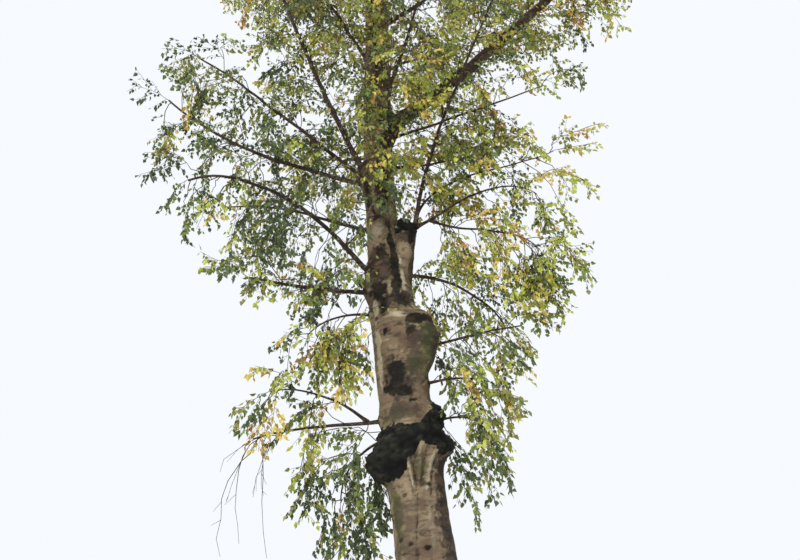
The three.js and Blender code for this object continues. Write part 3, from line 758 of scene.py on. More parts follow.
trunk_finish = Finish("papery_bark")
place = trunk_finish.place()
broad = trunk_finish.cloud(place, *BROAD_WAVES)
mottle = trunk_finish.cloud(place, *MOTTLE_WAVES)
blotch = trunk_finish.cloud(place, *BLOTCH_WAVES)
grain = trunk_finish.cloud(place, *GRAIN_WAVES)
dashes, bands = pores(trunk_finish, place, TRUNK_PORES)
colour = trunk_finish.tones(broad, *BARK_TONES)
layer_waves = {"blotch": blotch, "bands": bands, "mottle": mottle}
for wave, low, high, tone in BARK_LAYERS:
    share = trunk_finish.step(layer_waves[wave], low, high)
    colour = trunk_finish.blend(share, colour, rgba(tone))


def edge(name, low, high, bite):
    """A painted patch with an edge that the mottling breaks up."""
    shifted = trunk_finish.math(
        "ADD", trunk_finish.painted(name),
        trunk_finish.math("MULTIPLY", trunk_finish.math("SUBTRACT", mottle, 0.5), bite))
    return trunk_finish.step(shifted, low, high)


colour = trunk_finish.blend(edge("pale", *PATCH_EDGE), colour, rgba(PALE_BARK_AND_HIGHLIGHT_TONE))
for kind, tones in PATCH_TONES.items():
    if kind == "wound":
        colour = trunk_finish.blend(dashes, colour, rgba(DASH_TONE))
    colour = trunk_finish.blend(edge(kind, *PATCH_EDGE), colour, trunk_finish.tones(mottle, *tones))
burr_colour = trunk_finish.tones(broad, *BURR_TONES)
# Mottling lightens the burrs, and painted shade darkens the clefts between their knobs
for wave, (low, high, tone) in ((mottle, BURR_LIGHT), (trunk_finish.painted("painted_cleft_shade"), BURR_CLEFT_SHADE)):
    share = trunk_finish.step(wave, low, high)
    burr_colour = trunk_finish.blend(share, burr_colour, rgba(tone))
colour = trunk_finish.blend(edge("burr", *BURR_EDGE), colour, burr_colour)
root_colour = trunk_finish.tones(mottle, *ROOT_TONES)
colour = trunk_finish.blend(edge("root", *ROOT_EDGE), colour, root_colour)
trunk_finish.feed(trunk_finish.surface["Base Color"], colour)
trunk_finish.surface["Specular IOR Level"].default_value = BARK_GLOSS
varied = trunk_finish.math("MULTIPLY", mottle, BARK_ROUGHNESS[0])
trunk_finish.feed(trunk_finish.surface["Roughness"],
                  trunk_finish.math("ADD", varied, BARK_ROUGHNESS[1]))
lumps = trunk_finish.math("ADD", trunk_finish.math("MULTIPLY", mottle, BUMP_MOTTLE), grain)
cuts = trunk_finish.math("MULTIPLY", dashes, BUMP_DASHES)
trunk_finish.bump(trunk_finish.math("SUBTRACT", lumps, cuts), *TRUNK_BUMP)

trunk_mesh = mesh_of("trunk_skin", skin, trunk_faces, [trunk_finish.material])
for kind, values in {**marks, "burr": burr, "root": root, "painted_cleft_shade": painted_cleft_shade}.items():
    paint(trunk_mesh, kind, np.concatenate([values, [0, 0]]))
trunk_skin = new_object("trunk_skin", trunk_mesh)
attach(trunk_skin, "root")
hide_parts("trunk")

# Stub. What is left of a second leader: it forks off inside the trunk, stands beside it, and
# ends in a black rotten hollow with a splintered rim; the hollow and the clefts of its rot are
# darkened further with painted shade. It has the trunk's bark, with more pale patches, one of
# them a painted highlight, and painted shade under its cap and towards the trunk.
STUB_FOOT = 4.05
STUB_FOOT_SIDE = 0.04
STUB_RADII = [0.108, 0.106, 0.104, 0.104, 0.108]
STUB_JAG = 0.034
STUB_JAG_TEETH = 3.7
STUB_JAG_SKEW = 0.2
STUB_SIDES = 64
STUB_RINGS = 96
STUB_RAGGED_WAVES = (0.1, 5)
STUB_FINE_WAVES = (0.025, 3)
STUB_HOLLOW = 0.085
STUB_HOLLOW_RINGS = 8
HOLLOW_WALL = 0.035
HOLLOW_RIM = 0.09
HOLLOW_TAPER = 0.5
HOLLOW_LIP = 0.01
SPLINTER_SHARE = 0.2
SPLINTER_HEIGHT = 0.03
SPLINTER_WAVES = (0.35, 4)
SPLINTER_SHIFT = 7.3
# The rot's lower edge: how far under the top, how ragged, its waves round the stub, how sharp
STUB_ROT = 0.14
ROT_RAGGED = 0.07
ROT_WAVE = 0.025
ROT_WAVES = 3
ROT_SHARP = 120
ROT_KNOB_SIZE = 0.05
ROT_KNOBS = (0.02, 0.7)
ROT_ROUGH = (0.014, 0.008)
STUB_ROUGH = (0.005, 0.0015)
STUB_WOUND_DEPTH = 0.008
# How dark the painted shade is in the clefts of the rot
ROT_CLEFT_SHADE = 0.9
STUB_PATCHES = {
    # Scars, and painted shade in streaks under the rotten cap and on the side that faces the trunk
    "wound": [
        (4.72, 312, 0.05, 20, 0.9), (4.8, 250, 0.04, 20, 0.8), (4.62, 350, 0.05, 14, 0.6),
        (4.45, 205, 0.5, 38, 1.0),
    ],
    # Painted shade: under the rotten cap, on the stub's right side and low down by the trunk
    "shade": [
        (4.74, 290, 0.07, 90, 0.8), (4.4, 345, 0.3, 34, 0.8), (4.2, 300, 0.1, 60, 0.6),
    ],
    # Pale bark, and a painted highlight on the front of the stub
    "pale": [
        (4.6, 292, 0.05, 20, 0.4), (4.35, 262, 0.22, 16, 0.9),
    ],
    "algae": [
        (4.4, 318, 0.3, 24, 0.45),
    ],
}

stub_foot = trunk_axis(STUB_FOOT) + [STUB_FOOT_SIDE, 0, 0]
up_share, turn, outward = ring_grid(np.linspace(0, 1, STUB_RINGS + 1), STUB_SIDES)
tooth = STUB_JAG_TEETH * np.arctan2(outward[:, 1], outward[:, 0] + STUB_JAG_SKEW)
middle = stub_foot + (np.array(STUB_TOP) - stub_foot) * up_share[:, None]
radius = np.interp(up_share, np.linspace(0, 1, len(STUB_RADII)), STUB_RADII)
wall = middle + outward * radius[:, None]
ragged = waves(wall, *STUB_RAGGED_WAVES)
fine = waves(wall, *STUB_FINE_WAVES)
near_top = np.clip((up_share - (1 - SPLINTER_SHARE)) / SPLINTER_SHARE, 0, 1)
splinters = SPLINTER_HEIGHT * waves(outward + SPLINTER_SHIFT, *SPLINTER_WAVES) * near_top
stub_height = wall[:, 2] + (STUB_JAG * np.cos(tooth) + splinters) * near_top
stub_marks = patch_marks(STUB_PATCHES, stub_height, turn, ragged, fine)
rot_edge = (STUB_TOP[2] - STUB_ROT + ROT_RAGGED * ragged
            + ROT_WAVE * np.sin(np.radians(ROT_WAVES * turn)))
rot = soft_edge((rot_edge - wall[:, 2]) * ROT_SHARP)
relief = STUB_ROUGH[0] * ragged + STUB_ROUGH[1] * fine - STUB_WOUND_DEPTH * stub_marks["wound"]
knobs = crags(wall, ROT_KNOB_SIZE)
relief += rot * (ROT_ROUGH[0] * ragged + ROT_ROUGH[1] * fine
                 + ROT_KNOBS[0] * (ROT_KNOBS[1] - knobs))
wall = middle + outward * (radius + relief)[:, None]
wall[:, 2] = stub_height

rim = wall[-STUB_SIDES:]
hollow_floor = np.array(STUB_TOP) - [0, 0, STUB_HOLLOW]
hollow = []
for ring in range(1, STUB_HOLLOW_RINGS + 1):
    share = ring / STUB_HOLLOW_RINGS
    narrowed = 1 - HOLLOW_WALL / HOLLOW_RIM - share * HOLLOW_TAPER
    inner = np.array(STUB_TOP) + (rim - STUB_TOP) * narrowed
    floor_height = STUB_TOP.z - STUB_HOLLOW * math.sin(share * math.pi / 2)
    inner[:, 2] = between(rim[:, 2] - HOLLOW_LIP, floor_height, share)
    hollow.append(inner)
stub_places = np.concatenate([wall, *hollow, [hollow_floor, stub_foot]])
stub_rings = STUB_RINGS + 1 + STUB_HOLLOW_RINGS
centre = stub_rings * STUB_SIDES
stub_faces = np.concatenate([
    halved(ring_faces(stub_rings, STUB_SIDES)),
    cap(centre - STUB_SIDES, STUB_SIDES, centre, True), cap(0, STUB_SIDES, centre + 1, False)])
stub_mesh = mesh_of("stub_skin", stub_places, stub_faces, [trunk_finish.material])
inside = STUB_SIDES * STUB_HOLLOW_RINGS + 2
for kind, values in stub_marks.items():
    paint(stub_mesh, kind, np.concatenate([values, np.zeros(inside)]))
paint(stub_mesh, "burr", np.concatenate([rot, np.ones(inside)]))
paint(stub_mesh, "root", np.zeros(len(stub_places)))
# Painted shade in the clefts of the rot and all through the hollow
paint(stub_mesh, "painted_cleft_shade", np.concatenate([ROT_CLEFT_SHADE * knobs, np.ones(inside)]))
stub_skin = new_object("stub_skin", stub_mesh)
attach(stub_skin, "root")
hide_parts("stub")

# Limbs. Each is one bare tapering bough that carries on to its tip as the stem of its foliage,
# with a swollen foot where it grows from the wood that carries it. Thin dark brown bark with
# paler rings and pores.
LIMB_SIDES = 10
MAIN_LIMB_SIDES = 20
LIMB_RINGS = 44
MAIN_LIMB = 0.05
RING_CROWDING = 1.15
NEARLY_PLUMB = 0.05
FOOT_INSIDE = 0.4
FOOT_OUT = 0.15
FOOT_SWELL = 0.8
FOOT_FALL = 0.05
KNOT_SHARE = 0.09
KNOT_STRETCH = 1.7
KNOT_WAVES = (0.09, 2)
CROOKED = 0.012
CROOKED_WAVES = (0.35, 2)
CROOKED_SHIFTS = (0, 5.1, 9.7)
CROOKED_COMES_IN = (6, 0.6)
TIP_RADIUS = 0.0022
LIMB_MOTTLE = (0.05, 5.0, (1.4, 1.4, 0.9))
LIMB_BROAD = (0.35, 3.0)
LIMB_PORES = 0.7
LIMB_TONES = (0.4, 0.6, "3a2e26", "54463b")
LIMB_LIGHT = (0.52, 0.75, "75685a")
LIMB_DARK = (0.5, 0.68, "2b221d")
LIMB_DASH_TONE = "8d8172"
LIMB_ROUGHNESS = 0.8
LIMB_BUMP = (0.6, 0.004)


def unit(ways):
    return ways / (np.linalg.norm(ways, axis=-1, keepdims=True) + 1e-12)


def tubes(places, radii, sides):
    """Tapering tubes round many rows of places, as places and triangles."""
    count, stations = places.shape[:2]
    tangent = unit(np.gradient(places, axis=1))
    flat = np.stack([-tangent[..., 1], tangent[..., 0], np.zeros(places.shape[:2])], -1)
    plumb = np.linalg.norm(flat, axis=-1, keepdims=True) < NEARLY_PLUMB
    flat = np.where(plumb, np.array([0.0, 1.0, 0.0]), flat)
    side = unit(flat - tangent * np.sum(flat * tangent, -1, keepdims=True))
    under = np.cross(side, tangent)
    angle = np.arange(sides) * 2 * math.pi / sides
    around = (side[:, :, None] * np.cos(angle)[:, None]
              + under[:, :, None] * np.sin(angle)[:, None])
    skin = places[:, :, None] + around * radii[..., None, None]
    faces = halved(ring_faces(stations, sides)[:, ::-1])
    starts = np.arange(count)[:, None, None] * stations * sides
    return skin.reshape(-1, 3), (faces[None] + starts).reshape(-1, 3)


def tube_tips(count, stations, sides):
    """Fans that close the far end of each tube."""
    fan = np.stack([np.zeros(sides - 2, int), np.arange(2, sides), np.arange(1, sides - 1)], 1)
    ends = np.arange(count)[:, None, None] * stations * sides + (stations - 1) * sides
    return (fan[None] + ends).reshape(-1, 3)


limb_finish = Finish("limb_bark")
place = limb_finish.place()
mottle = limb_finish.cloud(place, *LIMB_MOTTLE)
dashes, bands = pores(limb_finish, place, LIMB_PORES)
broad = limb_finish.cloud(place, *LIMB_BROAD)
colour = limb_finish.tones(broad, *LIMB_TONES)
for wave, (low, high, tone) in ((mottle, LIMB_LIGHT), (bands, LIMB_DARK)):
    colour = limb_finish.blend(limb_finish.step(wave, low, high), colour, rgba(tone))
colour = limb_finish.blend(dashes, colour, rgba(LIMB_DASH_TONE))
limb_finish.feed(limb_finish.surface["Base Color"], colour)
limb_finish.surface["Roughness"].default_value = LIMB_ROUGHNESS
limb_finish.surface["Specular IOR Level"].default_value = BARK_GLOSS
limb_finish.bump(mottle, *LIMB_BUMP)


def limb_stations(limb):
    """Places and radii of a limb from inside its carrier to its tip, slightly crooked."""
    on_trunk = limb.carrier == "trunk"
    inside = FOOT_INSIDE * float(trunk_radius(limb.foot, 0)) if on_trunk else 0
    start = inside / limb.length
    shares = between(start, 1, np.linspace(0, 1, LIMB_RINGS + 1) ** RING_CROWDING)
    places = limb.at(shares)
    bend = np.stack([waves(places + shift, *CROOKED_WAVES) for shift in CROOKED_SHIFTS], -1)
    growth, delay = CROOKED_COMES_IN
    places = places + CROOKED * bend * np.clip(shares * growth - delay, 0, 1)[:, None]
    radii = np.maximum(limb.thickness(shares), TIP_RADIUS)
    radii = radii * (1 + KNOT_SHARE * waves(places * KNOT_STRETCH, *KNOT_WAVES))
    past = np.maximum(shares * limb.length - (FOOT_OUT if on_trunk else limb.radius), 0)
    return places, radii + FOOT_SWELL * limb.radius * np.exp(-past / FOOT_FALL)


for limb in limbs.values():
    if not limb.bare:
        continue
    places, radii = limb_stations(limb)
    sides = MAIN_LIMB_SIDES if limb.radius > MAIN_LIMB else LIMB_SIDES
    skin, faces = tubes(places[None], radii[None], sides)
    faces = np.concatenate([faces, tube_tips(1, len(places), sides)])
    name = f"limb_{limb.name}"
    piece = new_object(name, mesh_of(name, skin, faces, [limb_finish.material]))
    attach(piece, "root")
    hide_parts(f"bough_{limb.name}", f"foliage_{limb.name}")

# Twigs. They leave the limbs by the rule of the golden turn, spread, and droop under their own
# weight, and end in flat sprays of fine side shoots. Purple-brown bark, a few millimetres
# thick, grown as one with the limb.
CROWN_PARTS = {
    "lowest": ["left_hanging", "left_lowest", "right_lowest"],
    "low_left": ["left_rising", "left_yellow"],
    "low_right": ["right_burr", "right_scar"],
    "left": ["left_level", "left_arching", "left_wide", "left_slanting", "collar_shoots"],
    "upper_left": ["left_steep", "left_upper", "left_inner"],
    "right": ["right_main", "right_fork", "right_steep", "right_short", "right_level"],
    "stub_shoots": ["stub_upright", "stub_level", "stub_hanging", "stub_arching"],
    "back": ["back_low", "back_middle", "back_upper"],
    "front": ["front_low", "front_middle", "front_upper"],
    "upper": ["top_1", "top_2", "top_3", "top_4", "top_5"],
    "high": ["top_6", "top_7", "top_8", "top_9"],
    "tip": ["top_10", "top_11", "leader"],
}
# The rule that deals out the main twigs' numbers
SEED_STEP = 0.618
DEAL_FIRST = 7
DEAL_SEED = 1000
DEAL_FACTOR = 1664525
DEAL_STEP = 1013904223
DEAL_SPAN = 4294967296
# Main twigs: lengths in metres and angles in degrees
TWIG_GAP = 0.4
TWIG_FEWEST = 3
TWIG_FIRST = 0.16
TWIG_PAST_BOUGH = 0.04
TWIG_OFFSET = 0.3
TWIG_SPREAD = (47, 61)
TWIG_REACH = (0.62, 0.4)
TWIG_REACH_VARY = (0.8, 1.2)
TWIG_REACH_SHORT = (0.45, 2.6)
TWIG_DROOP = (32, 78)
TWIG_ARCH = 4
TWIG_SWING = 15
STEEPEST = 88
TWIG_STEPS = 5
TWIG_RADII = (0.0048, 0.0028)
TWIG_WAVE = 0.012
# Sprays: one at each twig's tip and one on the way there
SPRAY_LENGTH = 0.48
SPRAY_WIDTH = 0.32
SPRAY_SIZE = (0.8, 1.2)
SPRAY_TURN = 48
SPRAY_TIP_TURN = 19
SPRAY_HANG = 24
SPRAY_ROLL = 50
SPRAY_MIDWAY = 0.5
AXIS_SHARE = 0.92
AXIS_STEPS = 3
AXIS_DROOP = 26
AXIS_RADII = (0.0028, 0.0014)
# Finer twigs between the main ones
FINE_SEED = 20
FINE_GAP = 0.1
FINE_FIRST = 0.14
FINE_OFFSET = 0.8
FINE_LAST = 0.995
FINE_REACH = (0.45, 1.0)
FINE_SPRAY = (0.55, 0.95)
FINE_MIDWAY = (0.35, 0.7)
# Bare twigs, past the leafy share of a limb
HANG_LONGER = 1.5
BARE_ASIDE = 0.3
BARE_SHOOTS = 0.35
BARE_SHOOT_LENGTH = 0.6
# Side shoots of a spray, widest at a share of its axis
SHOOTS = 7
SHOOT_FIRST = 0.06
SHOOT_OFFSET = 0.2
SHOOT_SHIFT = 0.04
SHOOT_RANGE = (0.02, 0.97)
SHOOT_SPREAD = 48
SHOOT_SPREAD_VARY = 14
SHOOT_WAYWARD = 0.12
SHOOT_SAG = 0.22
SHOOT_LEAST = 0.06
SHOOT_STRETCH = 1.15
SHOOT_VARY = (0.75, 1.15)
SHOOT_RADII = (0.0018, 0.0012)
SHOOT_CLEAR = 0.01
SPRAY_WIDEST = 0.4
SPRAY_FOOT_WIDTH = 0.45
# Twigs and leaves may stand past the solids' box by this share of it
SPACE_OVER = 0.012
TWIG_SIDES = 3
STEM_SIDES = 6
TWIG_WAVES = (0.03, 3.0)
TWIG_TONES = (0.4, 0.65, "33261f", "5a463a")
TWIG_ROUGHNESS = 0.7
# Limbs with more fine twigs than the rule gives, or with fewer
CROWDED = {"collar_shoots": 1.6, "left_rising": 0.6, "left_yellow": 1.4, "left_level": 1.2,
           "left_hanging": 0.6, "left_arching": 0.8, "left_wide": 0.8, "left_slanting": 0.9,
           "left_steep": 1.6, "left_upper": 1.3, "left_lowest": 1.7, "right_main": 1.8,
           "right_level": 0.7, "right_short": 1.3, "right_steep": 1.3, "stub_upright": 1.3,
           "stub_level": 0.7, "stub_arching": 1.1, "stub_hanging": 2.6, "back_low": 1.4,
           "front_low": 1.6, "front_middle": 2.4, "front_upper": 2.4, "right_scar": 0.6,
           "right_lowest": 0.6, "left_inner": 1.4}
TOP_CROWDED = 1.8
TOP_FINE_FIRST = 0.07
# Limbs whose fine twigs start nearer to the foot
FINE_FROM = {"stub_upright": 0.04, "stub_hanging": 0.02, "stub_arching": 0.06, "back_low": 0.1,
             "left_lowest": 0.02, "left_arching": 0.05, "left_yellow": 0.03, "left_level": 0.03,
             "right_short": 0.03, "left_inner": 0.03}
# Openings in the crown as the front shows them: their middle and half sizes on a view plane one
# unit from the camera, and the share of the leafy sprays that stands in them
OPENINGS = [(0.215, 0.305, 0.08, 0.072, 0.12), (0.162, 0.09, 0.065, 0.08, 0.25),
            (-0.125, 0.085, 0.045, 0.06, 0.5), (-0.305, 0.12, 0.055, 0.08, 0.4),
            (-0.3, -0.04, 0.075, 0.06, 0.05), (-0.2, -0.083, 0.06, 0.048, 0.15),
            (0.032, 0.416, 0.048, 0.051, 0.4), (-0.136, 0.035, 0.03, 0.03, 0.4),
            (-0.2, -0.3, 0.045, 0.075, 0.25), (-0.232, -0.232, 0.026, 0.036, 0.25),
            (-0.14, -0.36, 0.045, 0.06, 0.5), (-0.088, 0.136, 0.03, 0.035, 0.5),
            (-0.088, -0.39, 0.04, 0.07, 0.45), (0.128, -0.112, 0.05, 0.07, 0.5),
            (0.2, -0.1, 0.04, 0.07, 0.4), (0.25, 0.14, 0.04, 0.08, 0.4)]
# The number that stands for a limb's own tip where a spray needs the number of its twig
LIMB_TIP = -1
twig_random = np.random.RandomState(FINE_SEED)


def dealer(seed):
    """Numbers between 0 and 1 in an order that the seed sets."""
    state = DEAL_FIRST + int(DEAL_SEED * seed + 0.5)
    while True:
        state = (state * DEAL_FACTOR + DEAL_STEP) % DEAL_SPAN
        yield state / DEAL_SPAN


def twig_from(limb, share, wind, spread, droop, reach, swing):
    """A twig's turns, rises, length and foot, from where it leaves its limb and how it grows."""
    turn, rise = limb.heading([share])
    ahead, side, under = (way[0] for way in heads(turn, rise))
    wind, spread = math.radians(wind), math.radians(spread)
    ahead = (ahead * math.cos(spread) + side * math.sin(spread) * math.cos(wind)
             - under * math.sin(spread) * math.sin(wind))
    turn = math.degrees(math.atan2(ahead[1], ahead[0]))
    rise = math.degrees(math.asin(max(-1, min(1, ahead[2]))))
    tip = max(rise - droop, -STEEPEST)
    least, full = TWIG_REACH_SHORT
    length = between(*TWIG_REACH, share) * reach * min(1, least + limb.length / full)
    return {"foot": limb.at([share])[0], "turns": (turn, turn + swing),
            "rises": (rise, (rise + tip) / 2 + TWIG_ARCH, tip), "length": length,
            "share": share}


def hang(twig):
    """Lets a bare twig fall straight down, longer than the leafy ones."""
    twig["rises"] = (twig["rises"][0], -STEEPEST / 2, -STEEPEST)
    twig["length"] *= HANG_LONGER


def grow_twigs(limb, seed):
    """The main twigs of a limb and their sprays, then finer ones between them."""
    deal = dealer(seed)
    twig_random.seed(FINE_SEED + int(DEAL_SEED * seed))

    def vary(low, high):
        return between(low, high, next(deal))

    twigs, sprays = [], []

    def bear(share, aside, size, roll, leafy, twig=None):
        """Puts a spray on the twig that is added next, or on the one of the given number."""
        sprays.append({"twig": len(twigs) if twig is None else twig, "share": share,
                       "aside": aside, "size": size, "roll": roll, "limb": limb,
                       "leafy": leafy})

    def dealt_size():
        return vary(*SPRAY_SIZE), SPRAY_ROLL * (2 * next(deal) - 1)

    first = max(limb.bare + TWIG_PAST_BOUGH, TWIG_FIRST)
    count = max(TWIG_FEWEST, int(limb.length * (1 - first) / TWIG_GAP + 0.5))
    rows = []
    for order in range(count):
        share = first + (1 - first) * (order + TWIG_OFFSET) / count
        spread, droop = vary(*TWIG_SPREAD), vary(*TWIG_DROOP)
        reach, swing = vary(*TWIG_REACH_VARY), vary(-TWIG_SWING, TWIG_SWING)
        rows.append(twig_from(limb, share, GOLDEN_TURN * order + 360 * seed, spread, droop,
                              reach, swing))
    for order, twig in enumerate(rows):
        leafy = twig["share"] < limb.leafy
        if not leafy:
            hang(twig)
        bear(1, SPRAY_TIP_TURN if order % 2 else -SPRAY_TIP_TURN, *dealt_size(), leafy)
        aside = SPRAY_TURN if next(deal) < 0.5 else -SPRAY_TURN
        bear(SPRAY_MIDWAY, aside, *dealt_size(), leafy)
        twigs.append(twig)
    at_top = limb.name.startswith("top") or limb.name == "leader"
    first = TOP_FINE_FIRST if at_top else FINE_FROM.get(limb.name, FINE_FIRST)
    crowded = TOP_CROWDED if at_top else CROWDED.get(limb.name, 1)
    fine_count = int(limb.length * (1 - first) / FINE_GAP * crowded)
    for order in range(fine_count):
        share = min(first + (1 - first) * (order + FINE_OFFSET) / fine_count, FINE_LAST)
        twig = twig_from(limb, share, GOLDEN_TURN * (order + 0.5) + 360 * seed,
                         twig_random.uniform(*TWIG_SPREAD), twig_random.uniform(*TWIG_DROOP),
                         twig_random.uniform(*FINE_REACH),
                         twig_random.uniform(-TWIG_SWING, TWIG_SWING))
        places = (1, twig_random.uniform(*FINE_MIDWAY))
        leafy = share < limb.leafy
        if not leafy:
            hang(twig)
        for at in places if leafy else places[:1]:
            aside = twig_random.uniform(-SPRAY_TURN, SPRAY_TURN) * (1 if leafy else BARE_ASIDE)
            bear(at, aside, twig_random.uniform(*FINE_SPRAY),
                 twig_random.uniform(-SPRAY_ROLL, SPRAY_ROLL), leafy)
        twigs.append(twig)
    bear(1, 0, *dealt_size(), limb.leafy == 1, twig=LIMB_TIP)
    return twigs, sprays


def from_camera(places):
    """Where places show on the view plane, across and up, and how far away they are."""
    offset = places - np.array(CAMERA_PLACE)
    depth = offset @ np.array(forward)
    return offset @ np.array(right) / depth, offset @ np.array(above) / depth, depth


def in_opening(places):
    """True for the places that one of the crown's openings leaves out."""
    across, up = from_camera(places)[:2]
    left_out = np.zeros(len(places), bool)
    chance = twig_random.uniform(0, 1, len(places))
    for middle, height_up, half_across, half_up, share in OPENINGS:
        spread = ((across - middle) / half_across) ** 2 + ((up - height_up) / half_up) ** 2
        left_out |= (spread < 1) & (chance > share)
    return left_out


def wavy(places):
    """Rows of places bent a little to and fro, with the first place of each left alone."""
    bends = twig_random.normal(0, TWIG_WAVE, places.shape)
    bends[:, 0] = 0
    return places + bends


def crown_part(names, seeds):
    """Twigs and the axes of sprays that grow from some limbs, with what their side shoots need."""
    twigs, sprays = [], []
    for name in names:
        grown, borne = grow_twigs(limbs[name], seeds[name])
        for spray in borne:
            if spray["twig"] != LIMB_TIP:
                spray["twig"] += len(twigs)
        twigs += grown
        sprays += borne
    rows = [[twig[key] for twig in twigs] for key in ("foot", "turns", "rises", "length")]
    twig_places = wavy(runs(*rows, TWIG_STEPS))
    feet, turn, rise = [], [], []
    for spray in sprays:
        if spray["twig"] == LIMB_TIP:
            feet.append(spray["limb"].at([1])[0])
            at_turn, at_rise = (value[0] for value in spray["limb"].heading([1]))
        else:
            twig = twigs[spray["twig"]]
            row = twig_places[spray["twig"]]
            steps = np.linspace(0, 1, TWIG_STEPS + 1)
            feet.append([np.interp(spray["share"], steps, row[:, axis]) for axis in range(3)])
            at_turn, at_rise = (value[0][0] for value in headings(
                [twig["turns"]], [twig["rises"]], np.array([spray["share"]])))
        turn.append(at_turn + spray["aside"])
        rise.append(max(at_rise - SPRAY_HANG, -STEEPEST))
    feet, turn, rise = np.array(feet), np.array(turn), np.array(rise)
    size, roll, leafy, borne_by = (np.array([spray[key] for spray in sprays])
                                   for key in ("size", "roll", "leafy", "twig"))
    tip_rise = np.maximum(rise - AXIS_DROOP, -STEEPEST)
    start_rise = np.minimum(rise + AXIS_DROOP / 2, STEEPEST)
    axis_places = wavy(runs(feet, np.stack([turn, turn], 1),
                            np.stack([start_rise, rise, tip_rise], 1),
                            SPRAY_LENGTH * AXIS_SHARE * size, AXIS_STEPS))
    kept = ~(leafy & in_opening(axis_places.mean(1)))
    used = np.isin(np.arange(len(twigs)), borne_by[kept])
    return {"twig_places": twig_places[used], "size": size[kept], "turn": turn[kept],
            "axis_places": axis_places[kept], "rise": rise[kept], "roll": roll[kept],
            "leafy": leafy[kept]}


def side_shoots(part):
    """Side shoots, alternate and flat in each spray, longest where the spray is widest."""
    count = len(part["size"])
    along = SHOOT_FIRST + (1 - SHOOT_FIRST) * (np.arange(SHOOTS) + SHOOT_OFFSET) / SHOOTS
    shift = twig_random.uniform(-SHOOT_SHIFT, SHOOT_SHIFT, (count, SHOOTS))
    along = np.clip(along + shift, *SHOOT_RANGE)
    whole = along * AXIS_STEPS
    step = np.minimum(whole.astype(int), AXIS_STEPS - 1)
    rows = np.arange(count)[:, None]
    near, far = part["axis_places"][rows, step], part["axis_places"][rows, step + 1]
    feet = near + (far - near) * (whole - step)[..., None]
    ahead = unit(far - near)
    side = heads(part["turn"], part["rise"])[1][:, None]
    side = unit(side - ahead * np.sum(side * ahead, -1, keepdims=True))
    under = np.cross(side, ahead)
    roll = np.radians(part["roll"])[:, None, None]
    flat = side * np.cos(roll) + under * np.sin(roll)
    handed = np.where((np.arange(SHOOTS) + np.arange(count)[:, None]) % 2, 1.0, -1.0)
    vary = twig_random.uniform(-SHOOT_SPREAD_VARY, SHOOT_SPREAD_VARY, (count, SHOOTS))
    spread = np.radians(SHOOT_SPREAD + vary)
    way = ahead * np.cos(spread)[..., None] + flat * (handed * np.sin(spread))[..., None]
    way = way + twig_random.normal(0, SHOOT_WAYWARD, way.shape)
    way[..., 2] -= SHOOT_SAG
    widening = SPRAY_FOOT_WIDTH + (1 - SPRAY_FOOT_WIDTH) * along / SPRAY_WIDEST
    width = np.where(along < SPRAY_WIDEST, widening, (1 - along) / (1 - SPRAY_WIDEST))
    length = SHOOT_LEAST + SPRAY_WIDTH / 2 * part["size"][:, None] * width * SHOOT_STRETCH
    length = length * twig_random.uniform(*SHOOT_VARY, length.shape)
    bare_length = np.where(twig_random.uniform(0, 1, length.shape) < BARE_SHOOTS,
                           BARE_SHOOT_LENGTH * length, 0)
    length = np.where(part["leafy"][:, None], length, bare_length)
    return feet.reshape(-1, 3), unit(way).reshape(-1, 3), length.ravel()


def inside_space(places):
    """True where a place is inside the box that the crown may fill."""
    over = SPACE_OVER * (cad_box[1] - cad_box[0])
    return np.all((places > cad_box[0] - over) & (places < cad_box[1] + over), -1)


def clear_of_trunk(places, gap):
    """True where a place is outside the trunk by a gap, or above its tip."""
    offset = places - trunk_axis(np.clip(places[..., 2], 0, TRUNK_TOP))
    out = np.hypot(offset[..., 0], offset[..., 1])
    towards = np.degrees(np.arctan2(offset[..., 1], offset[..., 0]))
    return (out > trunk_radius(places[..., 2], towards) + gap) | (places[..., 2] > TRUNK_TOP)


twig_finish = Finish("twig_bark")
streak = twig_finish.cloud(twig_finish.place(), *TWIG_WAVES)
twig_finish.feed(twig_finish.surface["Base Color"], twig_finish.tones(streak, *TWIG_TONES))
twig_finish.surface["Roughness"].default_value = TWIG_ROUGHNESS
twig_finish.surface["Specular IOR Level"].default_value = BARK_GLOSS

seeds = {name: (SEED_STEP * (order + 1)) % 1 for order, name in enumerate(limbs)}
parts = {}
for part_name, names in CROWN_PARTS.items():
    part = crown_part(names, seeds)
    shoot_feet, shoot_ways, shoot_lengths = side_shoots(part)
    part.update(shoot_feet=shoot_feet, shoot_ways=shoot_ways, shoot_lengths=shoot_lengths)
    parts[part_name] = part
    ends = shoot_feet + shoot_ways * shoot_lengths[:, None]
    grown = clear_of_trunk(ends, SHOOT_CLEAR) & (shoot_lengths > 0)
    meshes = []
    for rods, radii in ((part["twig_places"], TWIG_RADII), (part["axis_places"], AXIS_RADII),
                        (np.stack([shoot_feet, ends], 1)[grown], SHOOT_RADII)):
        rods = rods[inside_space(rods[:, -1])]
        taper = np.linspace(*radii, rods.shape[1])
        meshes.append(tubes(rods, np.tile(taper, (len(rods), 1)), TWIG_SIDES))
    for name in names:
        if not limbs[name].bare:
            places, radii = limb_stations(limbs[name])
            meshes.append(tubes(places[None], radii[None], STEM_SIDES))
    places, faces, behind = [], [], 0
    for skin, joined in meshes:
        places.append(skin)
        faces.append(joined + behind)
        behind += len(skin)
    name = f"twigs_{part_name}"
    piece = new_object(name, mesh_of(name, np.concatenate(places), np.concatenate(faces),
                                     [twig_finish.material]))
    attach(piece, "root")
    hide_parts(*[f"foliage_{limb}" for limb in names])

